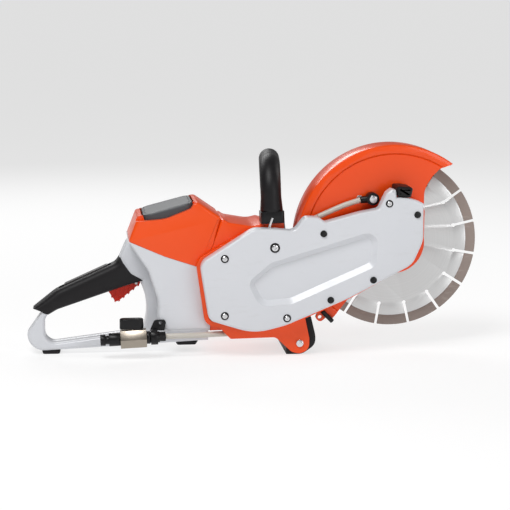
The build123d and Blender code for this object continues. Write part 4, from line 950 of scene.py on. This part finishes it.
# The black rings round the heads are painted shade for the counterbores, which are not cut.
link("screw_painted_shade_rings", painted_shade_rings, "black_plastic", "machine")
for x, z in plug_places:
    turned_head(plugs, x, z, plug_profile)
link("cover_plug_caps", plugs, "black_plastic", "machine", "cover_plugs")
print("screws:", len(screw_places), "plugs:", len(plug_places))

# %% [markdown]
# ## Wheel guard
# The guard is a deep-drawn hood that turns about the wheel's axis. Its section is the same all round, so it
# is swept about that axis: a flat near wall, a raised and rounded rim with a fine groove, the band over the
# wheel, and the far wall. The near wall's front edge is then cut back, and a collar and a small lug are
# joined on.

# %% Wheel guard
GUARD_FRONT, GUARD_TAIL, GUARD_STEP = 52.0, 231.0, 2.0
guard_section = [  # radius and y, in millimetres
    (29.1, -48), (116.8, -48), (117.6, -47.4), (118.3, -48.1), (118.9, -49.2), (120.0, -49.5), (126.6, -49.5),
    (128.4, -49.0), (129.5, -47.9), (130, -46.2), (130, -1.5), (129.5, 0.4), (128.4, 1.5),
    (126.6, 2), (56.5, 2),
    (55.4, 1.6), (55, 0.6), (55, -1), (127, -1), (127, -45), (29.1, -45),
]
collar_section = [(29.1, -48.6), (40, -48.6), (41, -48), (41, -45), (35, -45), (35, -40.4), (29.1, -40.4)]
COLLAR_STEP = 5                # degrees


def polar(radius, degrees_up):
    """Place at a radius and an angle above +X, about the wheel's axis, in millimetres."""
    a = radians(degrees_up)
    return (WHEEL_X + radius * cos(a), WHEEL_Z + radius * sin(a))


def swept_section(section, start, end, step):
    """Solid made by carrying a closed section about the wheel's axis, from one angle to another."""
    bm = bmesh.new()
    count = max(3, round((end - start) / step))
    whole = end - start >= 360
    rings = []
    for k in range(count if whole else count + 1):
        angle = start + (end - start) * k / count
        row = []
        for r, y in section:
            x, z = polar(r, angle)
            row.append(bm.verts.new(Vector((x, y, z)) * MM))
        rings.append(row)
    if whole:
        for low, high in zip(rings, rings[1:] + rings[:1]):
            skin(bm, low, high)
    else:
        closed_skin(bm, rings)
    return bm


hood = swept_section(guard_section, GUARD_FRONT, GUARD_TAIL, GUARD_STEP)
guard_shell = link("guard_hood", hood, "orange_casting", "guard", "guard_shell")
front_edge = [(225, 150, 0), (225, 215, 30), (236, 233, 6), (246, 242.5, 0), (300, 262, 0), (300, 150, 0)]
lug_corners = [(128, 222, 0), (144.5, 222.9, 5), (144.5, 227.1, 5), (128, 228, 0)]      # polar, with a radius
lug_rows = [(*polar(r, a), c) for r, a, c in lug_corners]
cut(guard_shell, [block(front_edge, -52, -35)])
cut(guard_shell, [block(lug_rows, -49.5, -45), swept_section(collar_section, 0, 360, COLLAR_STEP)], "UNION")
cut(guard_shell, [block(circle(*polar(139.4, 225), 2.6, 16), -54, -40)])      # the lug's hole
dress(guard_shell, "orange_casting", "guard")
ease_edges(guard_shell, 0.7 * MM)
print("guard faces:", len(guard_shell.data.polygons))

# %% [markdown]
# ## Guard grip
# The operator turns the guard by a rubber knob that stands over the belt cover. It is an arc of a ring with
# its free end well rounded.

# %% Guard grip
KNOB_ANGLE, KNOB_SPAN = 84.8, 7.9        # middle and half width, in degrees
KNOB_OUT, KNOB_IN = 79, 65.6             # radii about the wheel's axis, in millimetres
KNOB_FREE, KNOB_ROOT = -88 * MM, -48 * MM
SHARES = (-1, -0.5, 0, 0.5, 1)
arc_out = [(*polar(KNOB_OUT, KNOB_ANGLE + KNOB_SPAN * t), 0 if abs(t) < 1 else 4, 1) for t in SHARES]
arc_in = [(*polar(KNOB_IN, KNOB_ANGLE + KNOB_SPAN * t), 0 if abs(t) < 1 else 3.5, 1) for t in SHARES[::-1]]
bm = bmesh.new()
rounded_slab(bm, outline(arc_out + arc_in), KNOB_FREE, KNOB_ROOT, 4.5 * MM, 0.5 * MM)
guard_grip = link("guard_knob", bm, "black_rubber", "guard", "guard_grip")
print("guard grip faces:", len(guard_grip.data.polygons))

# %% [markdown]
# ## Front handle strap
# A bright steel strap holds the handle's near end down in its rubber mount. It is a thin bent strip.

# %% Front handle strap
bm = bmesh.new()
strap_rows = [(12.5, 166, 1, 1), (15.6, 166, 1, 1), (21.5, 184, 1, 1), (18.4, 184, 1, 1)]
STRAP_FACE, STRAP_BACK = -75.0 * MM, -73.4 * MM
rounded_slab(bm, outline(strap_rows), STRAP_FACE, STRAP_BACK, 0.4 * MM, 0.2 * MM)
handle_strap = link("handle_strap", bm, "zinc_screws", "machine")
print("strap faces:", len(handle_strap.data.polygons))
